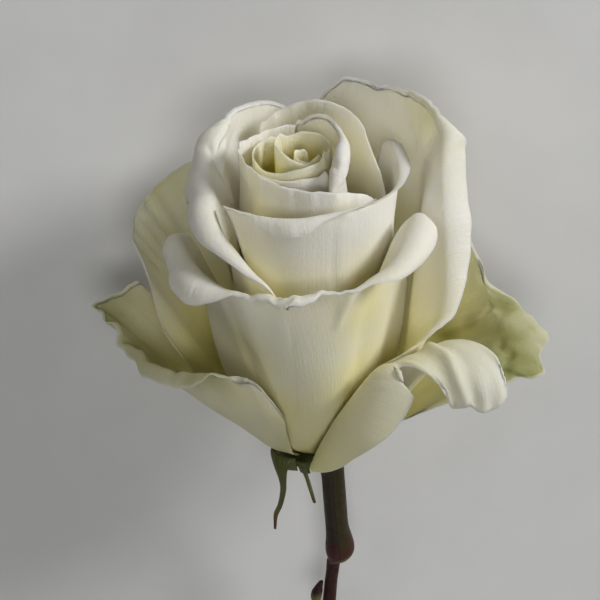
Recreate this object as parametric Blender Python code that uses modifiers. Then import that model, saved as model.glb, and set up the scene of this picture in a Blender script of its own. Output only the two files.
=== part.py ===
"""A cut white rose lying on its side: stem with its hip, five sepals, a bud, the heart and fifteen petals.

The flower is drawn upright, in millimetres: its axis is Z, turn 0 faces the viewer of the photograph
(-Y), turn 90 is the viewer's right (+X) and turn 180 the back. An empty that everything is parented to
lays the whole flower on its back.
"""
from collections import namedtuple
from math import cos, radians, sin

import bmesh
import bpy
import numpy as np
from mathutils import Vector
from mathutils.bvhtree import BVHTree

MM = 0.001
PETAL_WALL = 0.65       # thickness of a petal and of a sepal
CLEARANCE = 1.2         # least distance between the middles of two petals
CLAW_HEIGHT = 1.4       # where the petals start, above the hip's rim
BODY_ROWS = 7           # rows of points from claw to crest
LIP_ROWS = 4            # rows of points over a rolled lip
LIP_STEPS = 24          # steps that a lip's roll is summed in
STEM_SIDES = 14
STEM_LENGTH = 96.0      # from the petals' base to the cut end

TILT = radians(14.1)    # how far the axis rises from the floor towards the bloom
ROLL = radians(1.0)     # turn about the axis, which settles the bloom on both of its low petals
LIFT = 25.4             # height of the petals' base above the floor
ALONG = 7.2             # moves the flower along its length to the middle of the frame
ASIDE = -2.7            # and across

# Colour and roughness of each kind of piece.
CREAM = ((0.80, 0.79, 0.66), 0.55)
CELADON = ((0.70, 0.72, 0.50), 0.6)
YELLOW = ((0.80, 0.76, 0.48), 0.55)
GREEN = ((0.25, 0.33, 0.10), 0.6)
BROWN = ((0.13, 0.10, 0.05), 0.5)
PINK = ((0.45, 0.22, 0.14), 0.5)

Rib = namedtuple("Rib", "turn radius height flare lip curl")
Petal = namedtuple("Petal", "name claw rise ribs late reach shift per_gap snap")


def petal(name, claw, rise, ribs, late=0.0, reach=1.1, shift=0.0, per_gap=1, snap=1.0):
    """claw is (turn, half width in degrees, radius). rise is the slope at the claw.

    A lip with a snap above 1 folds over sharply and then hangs straight.
    """
    return Petal(name, claw, rise, [Rib(*rib) for rib in ribs], late, reach, shift, per_gap, snap)


# Each rib ends at its crest (turn, radius, height), leaving at the slope flare: 90 is straight up and
# 0 is outward. From there a lip of that many millimetres rolls outward by curl degrees.
WHORLS = [
    petal("whorl_a", (-60, 150, 1.0), 84, [
        (-215, 1.2, 50, 92, 0, 0), (-200, 1.6, 68, 92, 0, 0), (-130, 2.2, 70.6, 92, 0, 0),
        (-60, 2.6, 70.4, 92, 0, 0), (0, 2.8, 69.6, 92, 0, 0), (60, 2.9, 70.4, 94, 0, 0),
        (110, 2.6, 68, 94, 0, 0)], shift=2.8, per_gap=2),
    petal("whorl_b", (-20, 120, 1.6), 80, [
        (-134, 4.4, 50, 92, 0, 0), (-126, 5.0, 71.5, 94, 0, 0), (-98, 5.3, 73, 94, 0, 0),
        (-70, 5.3, 73.2, 94, 0, 0), (-52, 5.0, 72.2, 94, 0, 0), (-33, 4.6, 71.2, 94, 0, 0),
        (-8, 4.5, 70.4, 94, 0, 0), (14, 4.5, 69.9, 94, 0, 0), (50, 4.5, 69.6, 94, 0, 0),
        (78, 4.4, 70, 94, 0, 0), (86, 4.0, 50, 92, 0, 0)], shift=2.0, per_gap=2),
    petal("whorl_c", (138, 125, 2.3), 76, [
        (34, 5.4, 50, 92, 0, 0), (42, 5.8, 70, 94, 0, 0), (64, 6.0, 71.6, 94, 0, 0),
        (106, 6.0, 71.8, 94, 0, 0), (144, 6.0, 72.3, 94, 0, 0), (171, 6.2, 72.3, 94, 0, 0),
        (201, 6.3, 71.7, 94, 0, 0), (228, 6.3, 71.2, 94, 0, 0), (240, 5.6, 50, 92, 0, 0)],
        shift=1.8, per_gap=2),
    petal("whorl_d", (-20, 125, 3.0), 72, [
        (-170, 6.8, 50, 92, 0, 0), (-158, 7.8, 69.5, 94, 0, 0), (-128, 8.4, 71.2, 94, 0, 0),
        (-98, 8.6, 71.4, 94, 0, 0), (-76, 8.4, 70.4, 94, 0, 0), (-55, 8.0, 69.4, 94, 0, 0),
        (-30, 7.6, 69.6, 94, 0, 0), (-7, 7.2, 70.2, 94, 0, 0), (17, 7.1, 70.6, 94, 0, 0),
        (39, 7.1, 70.6, 94, 0, 0), (56, 7.1, 70.4, 94, 0, 0), (66, 6.4, 50, 92, 0, 0)],
        shift=0.6, per_gap=2),
]

PETALS = [
    petal("inner_front", (-4, 48, 3.8), 66, [
        (-108, 8.0, 45, 92, 0, 0), (-98, 8.8, 63, 92, 0, 0), (-78, 8.9, 67.5, 94, 0, 0),
        (-58, 9.0, 69, 94, 0, 0), (-38, 9.0, 68.8, 94, 0, 0), (-16, 8.8, 68.6, 95, 0, 0),
        (4, 8.7, 68.9, 95, 0, 0), (24, 8.6, 68.6, 94, 0, 0), (40, 8.5, 67.6, 94, 0, 0),
        (50, 7.8, 45, 90, 0, 0)], shift=0.8, per_gap=2),
    petal("inner_right", (112, 46, 3.8), 62, [
        (26, 9.6, 45, 92, 1, 20), (31, 9.8, 67.0, 92, 4.4, 165), (38, 9.6, 70.4, 92, 5.6, 165),
        (50, 9.2, 72.6, 92, 5.6, 165), (66, 8.8, 73.4, 92, 4.2, 165), (88, 8.6, 73.4, 92, 2.4, 160),
        (108, 8.8, 73.4, 92, 1.2, 120), (124, 9.2, 73.6, 92, 1, 60), (140, 9.6, 74.0, 92, 1, 20),
        (156, 10.0, 73.4, 92, 1, 20), (170, 10.2, 72, 92, 1, 20), (180, 10.2, 69, 92, 1, 20),
        (188, 9.2, 45, 92, 1, 20)], shift=1.0, snap=2.6),
    petal("inner_left", (-126, 42, 3.8), 57, [
        (-224, 9.6, 45, 90, 0, 0), (-214, 11.4, 67, 90, 0, 0), (-198, 11.8, 70.2, 90, 0, 0),
        (-176, 11.6, 71.2, 90, 0, 0), (-152, 10.8, 71.6, 90, 0, 0), (-128, 10.2, 71.8, 90, 0, 0),
        (-104, 10.0, 72.2, 90, 0, 0), (-78, 10.0, 72.0, 90, 0, 0), (-58, 10.6, 71.4, 90, 0, 0),
        (-40, 11.2, 70.4, 91, 0, 0), (-22, 11.7, 69.4, 92, 0, 0), (0, 12.3, 68.6, 92, 0, 0),
        (25, 13.0, 67.6, 92, 0, 0), (46, 13.8, 66.0, 92, 0, 0), (62, 14.4, 63.6, 92, 0, 0),
        (74, 14.6, 61.2, 92, 0, 0), (84, 15, 58.4, 92, 0, 0), (90, 13, 45, 90, 0, 0)], shift=1.3),
    petal("inner_back", (152, 44, 4.8), 56, [
        (68, 13, 45, 90, 0, 0), (84, 15.6, 56, 92, 0, 0), (100, 16.8, 62, 90, 0, 0),
        (112, 17.2, 66, 86, 0, 0), (120, 17.6, 69.6, 86, 0, 0), (129, 18, 72.0, 84, 0, 0),
        (143, 18, 73.5, 82, 0, 0), (158, 18, 74.4, 82, 0, 0), (170, 18.2, 73.8, 82, 0, 0),
        (184, 18.4, 72.4, 84, 0, 0), (195, 18, 70.6, 86, 0, 0), (202, 17.2, 67.5, 88, 0, 0),
        (208, 14.5, 45, 90, 0, 0)]),
    petal("front", (24, 44, 4.8), 50, [
        (-40, 15.4, 46, 86, 1, 10), (-45, 16, 56, 88, 1, 10), (-49, 16.5, 61.4, 90, 1, 10),
        (-54, 17.2, 64.3, 90, 1, 30), (-40, 16.9, 64.6, 92, 1.6, 90),
        (-28, 17, 64.5, 92, 2.4, 100), (-21, 17.1, 64.4, 92, 5.2, 168), (-8, 17.3, 64.3, 91, 5.4, 170),
        (5, 17.4, 64.2, 90, 4.6, 165), (17, 17.5, 64.3, 90, 2.6, 120), (34, 17.8, 64, 90, 1.8, 80),
        (58, 19, 63.2, 86, 1.2, 60), (80, 20.2, 62.6, 80, 2.0, 80), (98, 21.2, 64.5, 74, 3.2, 106),
        (112, 21.6, 66.4, 74, 3.2, 106), (122, 21.2, 63, 80, 1, 40), (126, 18.4, 48, 86, 1, 10)],
        late=0.75, snap=2.4),
    petal("left", (-98, 40, 4.8), 50, [
        (-196, 17, 48, 86, 1, 0), (-188, 20.4, 66, 84, 1, 20), (-176, 22, 70.6, 80, 1, 40),
        (-162, 22.4, 72, 76, 1.2, 50), (-148, 22.2, 71.8, 72, 1.3, 60), (-136, 20.6, 70.6, 68, 2.4, 80),
        (-125, 18.4, 69.4, 60, 4.4, 95), (-114, 16, 68, 50, 6.8, 105), (-103, 14.6, 66.6, 42, 9, 110),
        (-91, 14.2, 65.4, 40, 10, 110), (-79, 14.4, 64.8, 44, 9.8, 114), (-67, 15.4, 64.2, 54, 9.4, 125),
        (-56, 18.4, 63, 66, 8.6, 136), (-46, 20, 60.6, 68, 7.4, 134), (-36, 21, 58, 70, 5.2, 125),
        (-26, 22, 54.8, 72, 3, 100), (-16, 22.6, 51, 76, 1.6, 60), (-8, 21, 40, 84, 1, 10)]),
    petal("back_inner", (188, 38, 5.9), 46, [
        (120, 18, 44, 84, 0, 0), (130, 23, 58, 82, 0, 0), (152, 24.6, 64, 80, 0, 0),
        (178, 25, 65, 80, 0, 0), (204, 25, 63.5, 80, 0, 0), (226, 24, 58, 82, 0, 0),
        (236, 19, 42, 84, 0, 0)], per_gap=2),
    petal("lower_front", (2, 46, 5.9), 42, [
        (-116, 20, 36, 84, 1, 20), (-108, 23.2, 48, 78, 1, 60), (-98, 23.8, 51.8, 72, 2.6, 105),
        (-88, 23.8, 53.6, 66, 4.4, 125), (-77, 23.8, 54, 62, 5.8, 140), (-66, 23.9, 53.6, 60, 7.4, 150),
        (-54, 24.3, 52.8, 60, 9.4, 155), (-45, 24.2, 51.8, 60, 10, 155), (-37, 24.3, 51, 68, 6.4, 140),
        (-29, 24.6, 51.2, 78, 2.8, 110), (-18, 24.6, 51.3, 82, 3.6, 150), (-7, 24.6, 51.2, 84, 4.2, 165),
        (5, 24.6, 51.3, 84, 3.0, 150), (16, 24.7, 51.4, 80, 1.6, 100), (26, 24.8, 51.8, 70, 2.5, 100),
        (38, 25, 53.2, 46, 5.5, 120), (48, 24.6, 55.2, 32, 7.4, 120), (57, 24, 57, 26, 8.4, 120),
        (65, 23.6, 58.2, 30, 8, 120), (71, 23.6, 58.2, 34, 6.4, 120), (77, 24, 56.2, 44, 3.8, 110),
        (84, 23.6, 52, 62, 1.6, 80), (92, 22.6, 45, 78, 1, 20), (99, 20, 34, 84, 1, 10)]),
    petal("right_back", (94, 36, 5.9), 47, [
        (42, 20, 27, 74, 1, 10), (54, 26, 32, 66, 1.4, 50), (66, 29, 36.6, 62, 4.6, 95),
        (74, 29.2, 43.6, 60, 8.2, 105), (80, 28.9, 51.2, 58, 9.8, 106), (85, 28.8, 59, 58, 10.6, 106),
        (90, 29, 66, 60, 9, 104), (97, 30, 70.8, 64, 3.8, 95), (106, 30.6, 73.2, 68, 2, 75),
        (118, 30.2, 74, 72, 1.5, 60), (130, 29.5, 73.7, 76, 1.2, 50), (142, 29.2, 73.4, 78, 1, 40),
        (153, 29.6, 74.0, 78, 1, 10), (158, 29.4, 72.8, 78, 1, 10), (168, 28, 66, 80, 1, 10),
        (172, 24, 45, 84, 1, 10)]),
    petal("left_back", (-96, 32, 5.9), 42, [
        (-86, 24, 20, 66, 1, 10), (-88, 30, 33, 70, 1, 20), (-92, 32, 44, 68, 1, 40),
        (-101, 35.2, 50.5, 62, 1.5, 60), (-115, 36, 53.5, 62, 1.5, 60), (-128, 35.6, 55.5, 64, 1.5, 60),
        (-142, 34.4, 57, 66, 1.5, 60), (-158, 33.4, 56, 68, 1.5, 60), (-170, 31, 50, 72, 1, 40),
        (-174, 26, 32, 76, 1, 10)]),
    petal("back_right", (150, 38, 7.1), 44, [
        (104, 26, 36, 76, 1, 10), (112, 32, 48, 68, 1, 40), (128, 33.6, 55, 64, 1.5, 60),
        (146, 34, 57, 62, 2, 70), (164, 33.6, 56, 64, 1.5, 60), (180, 32.6, 52, 66, 1, 40),
        (190, 28, 38, 76, 1, 10)]),
    petal("guard_left", (-72, 38, 7.0), 44, [
        (-106, 19, 14, 46, 1, 10), (-112, 31, 26, 42, 1, 10), (-114, 37.5, 34, 46, 1, 10),
        (-111, 39.5, 35, 46, 1, 10), (-106, 41.2, 34.4, 44, 1, 10), (-101, 45.6, 34.2, 40, 1, 10),
        (-96, 42, 33.6, 42, 1, 20), (-88, 39, 32.4, 48, 1.6, 60), (-80, 36.2, 30.8, 56, 3.2, 130),
        (-72, 33, 29.8, 60, 4.6, 160), (-62, 30, 29.8, 64, 4.6, 160), (-52, 27.6, 31, 76, 3.4, 140),
        (-42, 25.6, 32, 80, 1.6, 60), (-28, 23.4, 31.6, 84, 1, 20), (-18, 16.5, 20, 76, 1, 10)],
        reach=0.9, snap=2.0),
    petal("guard_front_right", (31, 39, 7.2), 42, [
        (-10, 12.4, 2.6, -10, 1.5, 60), (-3, 15, 8, -20, 7, 90), (5, 17.6, 14, -20, 9.5, 95),
        (14, 20.2, 20.4, -14, 12, 100), (24, 22.6, 26.6, -4, 12.8, 106), (31, 24.2, 30.4, 6, 11, 110),
        (37, 25, 32, 20, 6, 110), (41, 24.4, 31, 46, 4, 60), (45, 25, 31.6, 22, 17, 116),
        (52, 26, 32.2, 14, 21, 112), (58, 27.4, 32.2, 12, 22.5, 104), (64, 29.4, 31.6, 10, 21, 94),
        (69, 31.4, 30.4, 14, 16, 82), (73, 31.6, 27, 24, 7, 60)], reach=0.9),
    petal("guard_right", (102, 31, 8.3), 42, [
        (62, 22, 11, 36, 1, 10), (68, 32, 18, 34, 6, 60), (74, 37, 22, 30, 9, 80), (80, 39.5, 23, 20, 11.5, 84),
        (86, 40.6, 24.8, 20, 12, 84), (91, 40.4, 26.8, 28, 9, 76), (95, 40, 29, 42, 5, 60),
        (99, 39.4, 33, 56, 1.2, 50), (105, 38, 39, 64, 1, 40), (113, 36.4, 45, 70, 1, 30),
        (122, 35.2, 48.5, 72, 1, 30), (132, 34, 46, 72, 1, 10), (138, 29, 32, 70, 1, 10)], reach=0.95),
    petal("guard_back", (186, 36, 8.1), 40, [
        (138, 24, 18, 60, 1, 10), (146, 33, 32, 56, 1, 30), (156, 36.4, 40, 54, 2, 60),
        (166, 36.6, 43, 54, 2, 60), (181, 35.4, 43.5, 56, 2, 60), (196, 36.6, 43, 54, 2, 60),
        (206, 36.4, 40, 54, 2, 60), (216, 33, 32, 56, 1, 30), (224, 24, 18, 60, 1, 10)]),
]

# Centre (across, depth, height) and radius of the stem's rings, from the hip's rim to the cut end.
STEM = [
    (0.0, 0.0, 0.5, 8.6), (0.0, 0.0, -0.4, 8.8), (0.2, 0.0, -1.4, 7.9), (0.9, 0.0, -2.8, 5.8),
    (2.0, 0.0, -4.4, 3.9), (2.7, 0.0, -6.2, 2.9), (2.9, 0.0, -9.0, 2.6), (2.9, 0.0, -15.0, 2.6),
    (2.9, 0.0, -22.5, 2.6), (3.1, 0.0, -25.6, 2.9), (3.2, 0.0, -28.4, 3.3), (3.1, 0.0, -30.4, 3.2),
    (2.7, 0.0, -32.0, 2.5), (1.6, 0.0, -33.0, 1.7), (1.0, 0.0, -36.0, 1.5), (0.2, 0.0, -41.0, 1.5),
    (-1.4, 0.0, -54.0, 1.7), (-2.4, 0.0, -70.0, 1.8), (-2.8, 0.0, -86.0, 1.9),
    (-2.7, 0.0, -STEM_LENGTH, 2.0),
]
CORE = [
    (0.0, 0.0, 1.1, 2.6), (0.0, 0.0, 8.0, 3.1), (0.3, 0.0, 20.0, 3.6), (0.7, 0.0, 32.0, 3.7),
    (1.4, 0.0, 42.0, 3.2), (2.2, 0.0, 50.0, 2.2), (2.8, 0.0, 55.0, 1.0),
]
BUD = [(-1.8, -0.3, -38.6, 0.5), (-2.4, -0.4, -39.8, 0.9), (-3.0, -0.5, -41.4, 1.3),
       (-3.3, -0.4, -43.2, 1.2), (-3.2, -0.3, -44.8, 0.5)]

# Sepals: the turn, then a path of (turn offset, radius, height, half width) from the hip's rim to the tip.
SEPALS = {
    "sepal_1": (-47, [(0, 9.9, -1.4, 2.8), (0, 11.2, 2.6, 3.6), (1, 12.4, 2.8, 3.5), (5, 13.1, 0.6, 2.0),
                      (7, 13.0, -2.2, 1.1), (6, 12.8, -5.2, 0.8), (0, 12.8, -9.6, 0.7),
                      (-7, 13.1, -13.0, 0.7), (-8, 13.4, -16.6, 0.4)]),
    "sepal_2": (-19, [(0, 9.7, -1.4, 1.2), (-1, 11.2, 2.4, 1.3), (1, 11.8, 1.6, 0.9), (4, 11.6, -0.6, 0.5),
                      (7, 11.2, -4.4, 0.45), (10, 10.9, -8.2, 0.35)]),
    "sepal_3": (88, [(0, 9.5, -0.8, 3.2), (0, 11.2, -0.7, 3.2), (0, 13.0, 0.7, 2.4),
                     (0, 15.0, 2.4, 1.4), (0, 16.8, 3.8, 0.5)]),
    "sepal_4": (138, [(0, 9.5, -1.2, 3.2), (0, 10.4, -1.0, 3.2), (1, 11.8, -3.0, 2.2),
                      (3, 12.8, -7.0, 1.2), (4, 13.4, -12.0, 0.5)]),
    "sepal_5": (-128, [(0, 9.5, -1.3, 3.2), (0, 10.4, -1.0, 3.2), (-1, 11.8, -3.2, 2.2),
                       (-2, 12.4, -7.6, 1.3), (-4, 12.6, -13.0, 0.5)]),
}


def between(keys, per_gap):
    """Catmull-Rom curve through the keys, with per_gap steps from one to the next."""
    keys = np.asarray(keys, float)
    if per_gap == 1:
        return keys
    ends = np.vstack([2 * keys[0] - keys[1], keys, 2 * keys[-1] - keys[-2]])
    out = []
    for a, b, c, d in zip(ends, ends[1:], ends[2:], ends[3:]):
        for t in np.linspace(0, 1, per_gap, endpoint=False):
            out.append(0.5 * (2 * b + (c - a) * t + (2 * a - 5 * b + 4 * c - d) * t ** 2
                              + (3 * b - a - 3 * c + d) * t ** 3))
    return np.array(out + [keys[-1]])


def place(turn, radius, height):
    angle = np.radians(turn)
    return np.stack([radius * np.sin(angle), -radius * np.cos(angle), height], -1)


def climb(v, start, end, ribs, claw_turn, late):
    """Points at v (0 claw, 1 crest) of every rib: a Hermite curve up from the claw that turns as it rises."""
    turn, radius, height, flare = ribs.T[:4]
    (r0, z0, rise), reach = start, end
    pull = reach * np.hypot(radius - r0, height - z0)
    a, b, c, d = 2 * v ** 3 - 3 * v ** 2 + 1, v ** 3 - 2 * v ** 2 + v, 3 * v ** 2 - 2 * v ** 3, v ** 3 - v ** 2
    flare = np.radians(flare)
    last = pull * (0.35 + 0.65 * np.abs(np.sin(flare)))
    r = a * r0 + b * pull * cos(rise) + c * radius + d * last * np.cos(flare)
    z = a * z0 + b * pull * sin(rise) + c * height + d * last * np.sin(flare)
    spread = (1 - late) * (1 - (1 - v) ** 1.6) + late * v ** 3
    return place(claw_turn + (turn - claw_turn) * spread, r, z)


def unit(vectors):
    return vectors / (np.linalg.norm(vectors, axis=-1, keepdims=True) + 1e-12)


def skin(p, body_rows, lip_rows, per_gap):
    """The petal's middle surface as rows of points, from the claw up and over the lip."""
    ribs = between([tuple(rib) for rib in p.ribs], per_gap)
    turn, half, radius = p.claw
    claw_turn = turn + np.linspace(-1, 1, len(ribs)) * half
    start = (radius, CLAW_HEIGHT, radians(p.rise))
    v = np.linspace(0, 1, body_rows)[:, None]
    body = climb(v, start, p.reach, ribs, claw_turn, p.late)
    rows = [body]
    lip, curl = ribs.T[4:]
    if lip.max() > 0:
        crest = body[-1]
        ahead = unit(crest - climb(0.98, start, p.reach, ribs, claw_turn, p.late))
        out = unit(np.cross(np.gradient(crest, axis=0), ahead))
        steps = np.linspace(0, 1, LIP_STEPS, endpoint=False)[:, None] + 0.5 / LIP_STEPS
        angle = np.radians(curl) * (1 - (1 - steps) ** p.snap)
        every = LIP_STEPS // lip_rows
        forward = (np.cumsum(np.cos(angle), 0) * lip / LIP_STEPS)[every - 1::every]
        aside = (np.cumsum(np.sin(angle), 0) * lip / LIP_STEPS)[every - 1::every]
        rows.append(crest + forward[..., None] * ahead + aside[..., None] * out)
    points = np.concatenate(rows)
    points[..., 0] += p.shift * np.clip(points[..., 2] / 65, 0, 1) ** 2
    return points


def grid_faces(rows, cols, offset=0):
    """Two triangles for each cell of a grid of points."""
    i = (np.arange(rows - 1)[:, None] * cols + np.arange(cols - 1)).reshape(-1) + offset
    return np.concatenate([np.stack([i, i + 1, i + cols + 1], 1), np.stack([i, i + cols + 1, i + cols], 1)])


def blade(turn, path):
    """A sepal's middle surface: its path, widened to both sides, and a little troughed along the middle."""
    path = np.array(path, float)
    aside = np.array([-1.0, -0.5, 0.0, 0.5, 1.0])
    wide = path[:, 3:4] * aside
    angle = turn + path[:, 0:1] + np.degrees(wide / path[:, 1:2])
    radius = path[:, 1:2] - 0.25 * np.abs(wide)
    return place(angle, radius, np.repeat(path[:, 2:3], 5, 1))


def samples(grid):
    """The points of the grid and the middles of its cells, with the grid points that carry each."""
    rows, cols = grid.shape[:2]
    index = np.arange(rows * cols).reshape(rows, cols)
    cells = np.stack([index[:-1, :-1], index[:-1, 1:], index[1:, 1:], index[1:, :-1]], -1).reshape(-1, 4)
    own = np.repeat(index.reshape(-1, 1), 4, 1)
    across = np.stack([index[:, :-1], index[:, 1:], index[:, :-1], index[:, 1:]], -1).reshape(-1, 4)
    up = np.stack([index[:-1], index[1:], index[:-1], index[1:]], -1).reshape(-1, 4)
    return np.concatenate([own, cells, across, up])


def push_of(point, tree, room):
    """How far a point has to move to stand clear of the surfaces inside of it."""
    outward = Vector((point[0], point[1], 0)).normalized()
    at = Vector(point)
    hit, _, _, far = tree.ray_cast(at + outward * 0.01, outward, 12.0)
    if hit is not None:
        return outward * (far + room)
    near, _, _, distance = tree.find_nearest(at, room)
    if near is None:
        return None
    away = (at - near).normalized() if distance > 1e-6 else outward
    if away.dot(outward) < 0.15:
        away = outward
    return away * (room - distance + 0.02)


def smoothed(field):
    """Each value drawn towards the mean of its four neighbours."""
    padded = np.pad(field, ((1, 1), (1, 1), (0, 0)), mode="edge")
    mean = (padded[:-2, 1:-1] + padded[2:, 1:-1] + padded[1:-1, :-2] + padded[1:-1, 2:]) / 4
    return 0.5 * field + 0.5 * mean


def clear_of(grid, tree, room, rounds=24):
    """The grid moved outward, smoothly, until it stands clear of the petals inside it."""
    moved = np.zeros_like(grid)
    carried = samples(grid)
    for step in range(rounds):
        now = grid + moved
        now[1:, :, 2] = np.maximum(now[1:, :, 2], CLAW_HEIGHT + 0.3)
        moved = now - grid
        flat = now.reshape(-1, 3)
        total, hits = np.zeros_like(flat), np.zeros(len(flat))
        for corners in carried:
            if corners.max() < grid.shape[1]:
                continue
            push = push_of(flat[corners].mean(0), tree, room)
            if push is not None:
                who = np.unique(corners)
                total[who] += np.array(push)
                hits[who] += 1
        if not hits.any():
            break
        moved += (total / np.maximum(hits, 1)[:, None]).reshape(grid.shape)
        if step < rounds - 6:
            soft = smoothed(moved)
            soft[0] = 0
            moved = soft
    moved[0] = 0
    return moved


def material(name, colour, roughness):
    made = bpy.data.materials.new(name)
    made.use_nodes = True
    shader = made.node_tree.nodes["Principled BSDF"]
    shader.inputs["Base Color"].default_value = (*colour, 1)
    shader.inputs["Roughness"].default_value = roughness
    return made


def tree_of(grids):
    points, faces, count = [], [], 0
    for grid in grids:
        points.append(grid.reshape(-1, 3))
        faces.append(grid_faces(*grid.shape[:2], offset=count))
        count += grid.shape[0] * grid.shape[1]
    return BVHTree.FromPolygons(np.concatenate(points).tolist(), np.concatenate(faces).tolist())


def core_grid():
    """The heart's core as an open grid, for keeping the petals off it."""
    rings = np.array(CORE)
    a = np.linspace(0, 2 * np.pi, 13)
    return np.stack([rings[:, 0:1] + rings[:, 3:4] * np.sin(a), -rings[:, 3:4] * np.cos(a),
                     np.repeat(rings[:, 2:3], 13, 1)], -1)


def petal_grids():
    """The middle surface of each whorl and petal, each one clear of those inside it."""
    grids = {w.name: skin(w, BODY_ROWS, LIP_ROWS, w.per_gap) for w in WHORLS}
    for p in PETALS:
        grid = skin(p, BODY_ROWS, LIP_ROWS, p.per_gap)
        tree = tree_of(list(grids.values()) + [core_grid()])
        grids[p.name] = grid + clear_of(grid, tree, CLEARANCE)
    return grids


def sheet(name, grid, made, collection, frame):
    """A petal or a sepal: the grid as an open surface, thickened alike to both sides."""
    mesh = bpy.data.meshes.new(name)
    mesh.from_pydata((grid.reshape(-1, 3) * MM).tolist(), [], grid_faces(*grid.shape[:2]).tolist())
    mesh.materials.append(made)
    mesh.shade_smooth()
    thing = bpy.data.objects.new(name, mesh)
    thing.parent = frame
    collection.objects.link(thing)
    wall = thing.modifiers.new("wall", "SOLIDIFY")
    wall.thickness, wall.offset = PETAL_WALL * MM, 0
    return thing


def bar(name, rings, sides, made, collection, frame):
    """A round bar through the rings of (across, depth, height, radius)."""
    curve = bpy.data.curves.new(name, "CURVE")
    curve.dimensions = "3D"
    curve.bevel_depth, curve.bevel_resolution = MM, sides // 2 - 2
    curve.use_fill_caps = True
    spline = curve.splines.new("POLY")
    spline.points.add(len(rings) - 1)
    for point, (x, y, z, radius) in zip(spline.points, rings):
        point.co = (x * MM, y * MM, z * MM, 1)
        point.radius = radius
    curve.materials.append(made)
    thing = bpy.data.objects.new(name, curve)
    thing.parent = frame
    collection.objects.link(thing)
    return thing


def meshed(thing, name, collection):
    """The object as it shows, made a plain closed mesh in its place."""
    graph = bpy.context.evaluated_depsgraph_get()
    mesh = bpy.data.meshes.new_from_object(thing.evaluated_get(graph))
    edit = bmesh.new()
    edit.from_mesh(mesh)
    bmesh.ops.remove_doubles(edit, verts=edit.verts, dist=0.001 * MM)
    edit.to_mesh(mesh)
    edit.free()
    mesh.shade_smooth()
    plain = bpy.data.objects.new(name, mesh)
    plain.parent = thing.parent
    collection.objects.link(plain)
    bpy.data.objects.remove(thing)
    return plain


def build_heart(grids, made, collection, frame):
    """The innermost petals, joined to a core that their claws are sunk in."""
    helpers = bpy.data.collections.new("helpers")
    collection.children.link(helpers)
    for whorl in WHORLS:
        sheet("helper_" + whorl.name, grids[whorl.name], made, helpers, frame)
    heart = meshed(bar("core", CORE, 12, made, collection, frame), "heart", collection)
    union = heart.modifiers.new("whorls", "BOOLEAN")
    union.operation, union.operand_type, union.solver = "UNION", "COLLECTION", "MANIFOLD"
    union.collection = helpers
    graph = bpy.context.evaluated_depsgraph_get()
    joined = bpy.data.meshes.new_from_object(heart.evaluated_get(graph))
    heart.modifiers.clear()
    heart.data = joined
    for helper in list(helpers.objects):
        bpy.data.objects.remove(helper)
    bpy.data.collections.remove(helpers)


def lying_frame(collection):
    """The empty that lays the upright flower on its back, head towards +Y and front upward."""
    frame = bpy.data.objects.new("lying_frame", None)
    frame.rotation_mode = "ZYX"
    frame.rotation_euler = (TILT - radians(90), 0, -ROLL)
    frame.location = (ASIDE * MM, ALONG * MM, LIFT * MM)
    collection.objects.link(frame)
    return frame


def main():
    for thing in list(bpy.data.objects):
        bpy.data.objects.remove(thing)
    rose = bpy.data.collections.new("rose")
    bpy.context.scene.collection.children.link(rose)
    frame = lying_frame(rose)
    bar("stem", STEM, STEM_SIDES, material("stem_brown", *BROWN), rose, frame)
    bar("bud", BUD, 8, material("bud_pink", *PINK), rose, frame)
    for name, (turn, path) in SEPALS.items():
        sheet(name, blade(turn, path), material(name + "_green", *GREEN), rose, frame)
    grids = petal_grids()
    build_heart(grids, material("heart_yellow", *YELLOW), rose, frame)
    for p in PETALS:
        colour = CELADON if p.name.startswith("guard") else CREAM
        sheet(p.name, grids[p.name], material(p.name + "_petal", *colour), rose, frame)


main()
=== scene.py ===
"""The looks of the lying rose: fine petals, sepals and stem in place of its solids, on a plain pale floor.

The flower is drawn upright, in millimetres, as its solids were: its axis is Z, turn 0 faces the camera's
side (-Y), turn 90 is +X and turn 180 the back. Then it is laid on its back.
"""

from collections import namedtuple
from math import cos, radians, sin

import bpy
import numpy as np
from mathutils import Matrix, Vector, noise
from mathutils.bvhtree import BVHTree


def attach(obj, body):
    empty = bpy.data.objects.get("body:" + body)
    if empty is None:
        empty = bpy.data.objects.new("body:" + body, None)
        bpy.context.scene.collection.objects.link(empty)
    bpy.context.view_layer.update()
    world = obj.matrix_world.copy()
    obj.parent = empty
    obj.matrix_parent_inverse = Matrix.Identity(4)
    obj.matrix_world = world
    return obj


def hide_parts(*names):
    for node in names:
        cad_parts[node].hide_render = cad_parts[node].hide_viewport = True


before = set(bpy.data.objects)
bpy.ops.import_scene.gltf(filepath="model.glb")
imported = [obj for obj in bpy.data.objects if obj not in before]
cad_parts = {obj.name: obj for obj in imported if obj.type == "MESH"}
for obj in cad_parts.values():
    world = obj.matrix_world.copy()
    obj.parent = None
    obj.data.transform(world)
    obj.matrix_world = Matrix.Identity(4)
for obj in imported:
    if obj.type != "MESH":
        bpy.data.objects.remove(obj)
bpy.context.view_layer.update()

# Lengths are in millimetres, apart from those of the studio.
MM = 0.001
CLEARANCE = 1.2       # least distance between the middles of two petals
ROUNDS = 24           # rounds of moving a petal clear of the ones inside it
HARD_ROUNDS = 6       # the last of those rounds, which don't smooth
COVER = 12.0          # how far out a surface still counts as covering a point
NUDGE = 0.02          # how much further than it needs to a point is moved
LEAST_OUTWARD = 0.15  # a push that points outward less than this is turned outward
CLAW_HEIGHT = 1.4     # where the petals start, above the hip's rim
CLAW_ROOM = 0.3       # how much higher the rows above the claw stay
FLAT_PULL = 0.35      # what is left of a rib's pull at a crest that leaves flat outward
EARLY = 1.6           # how early a rib takes its crest's turn on its way up
LEAN_HEIGHT = 65      # where a petal is shifted aside by its full shift
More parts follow.
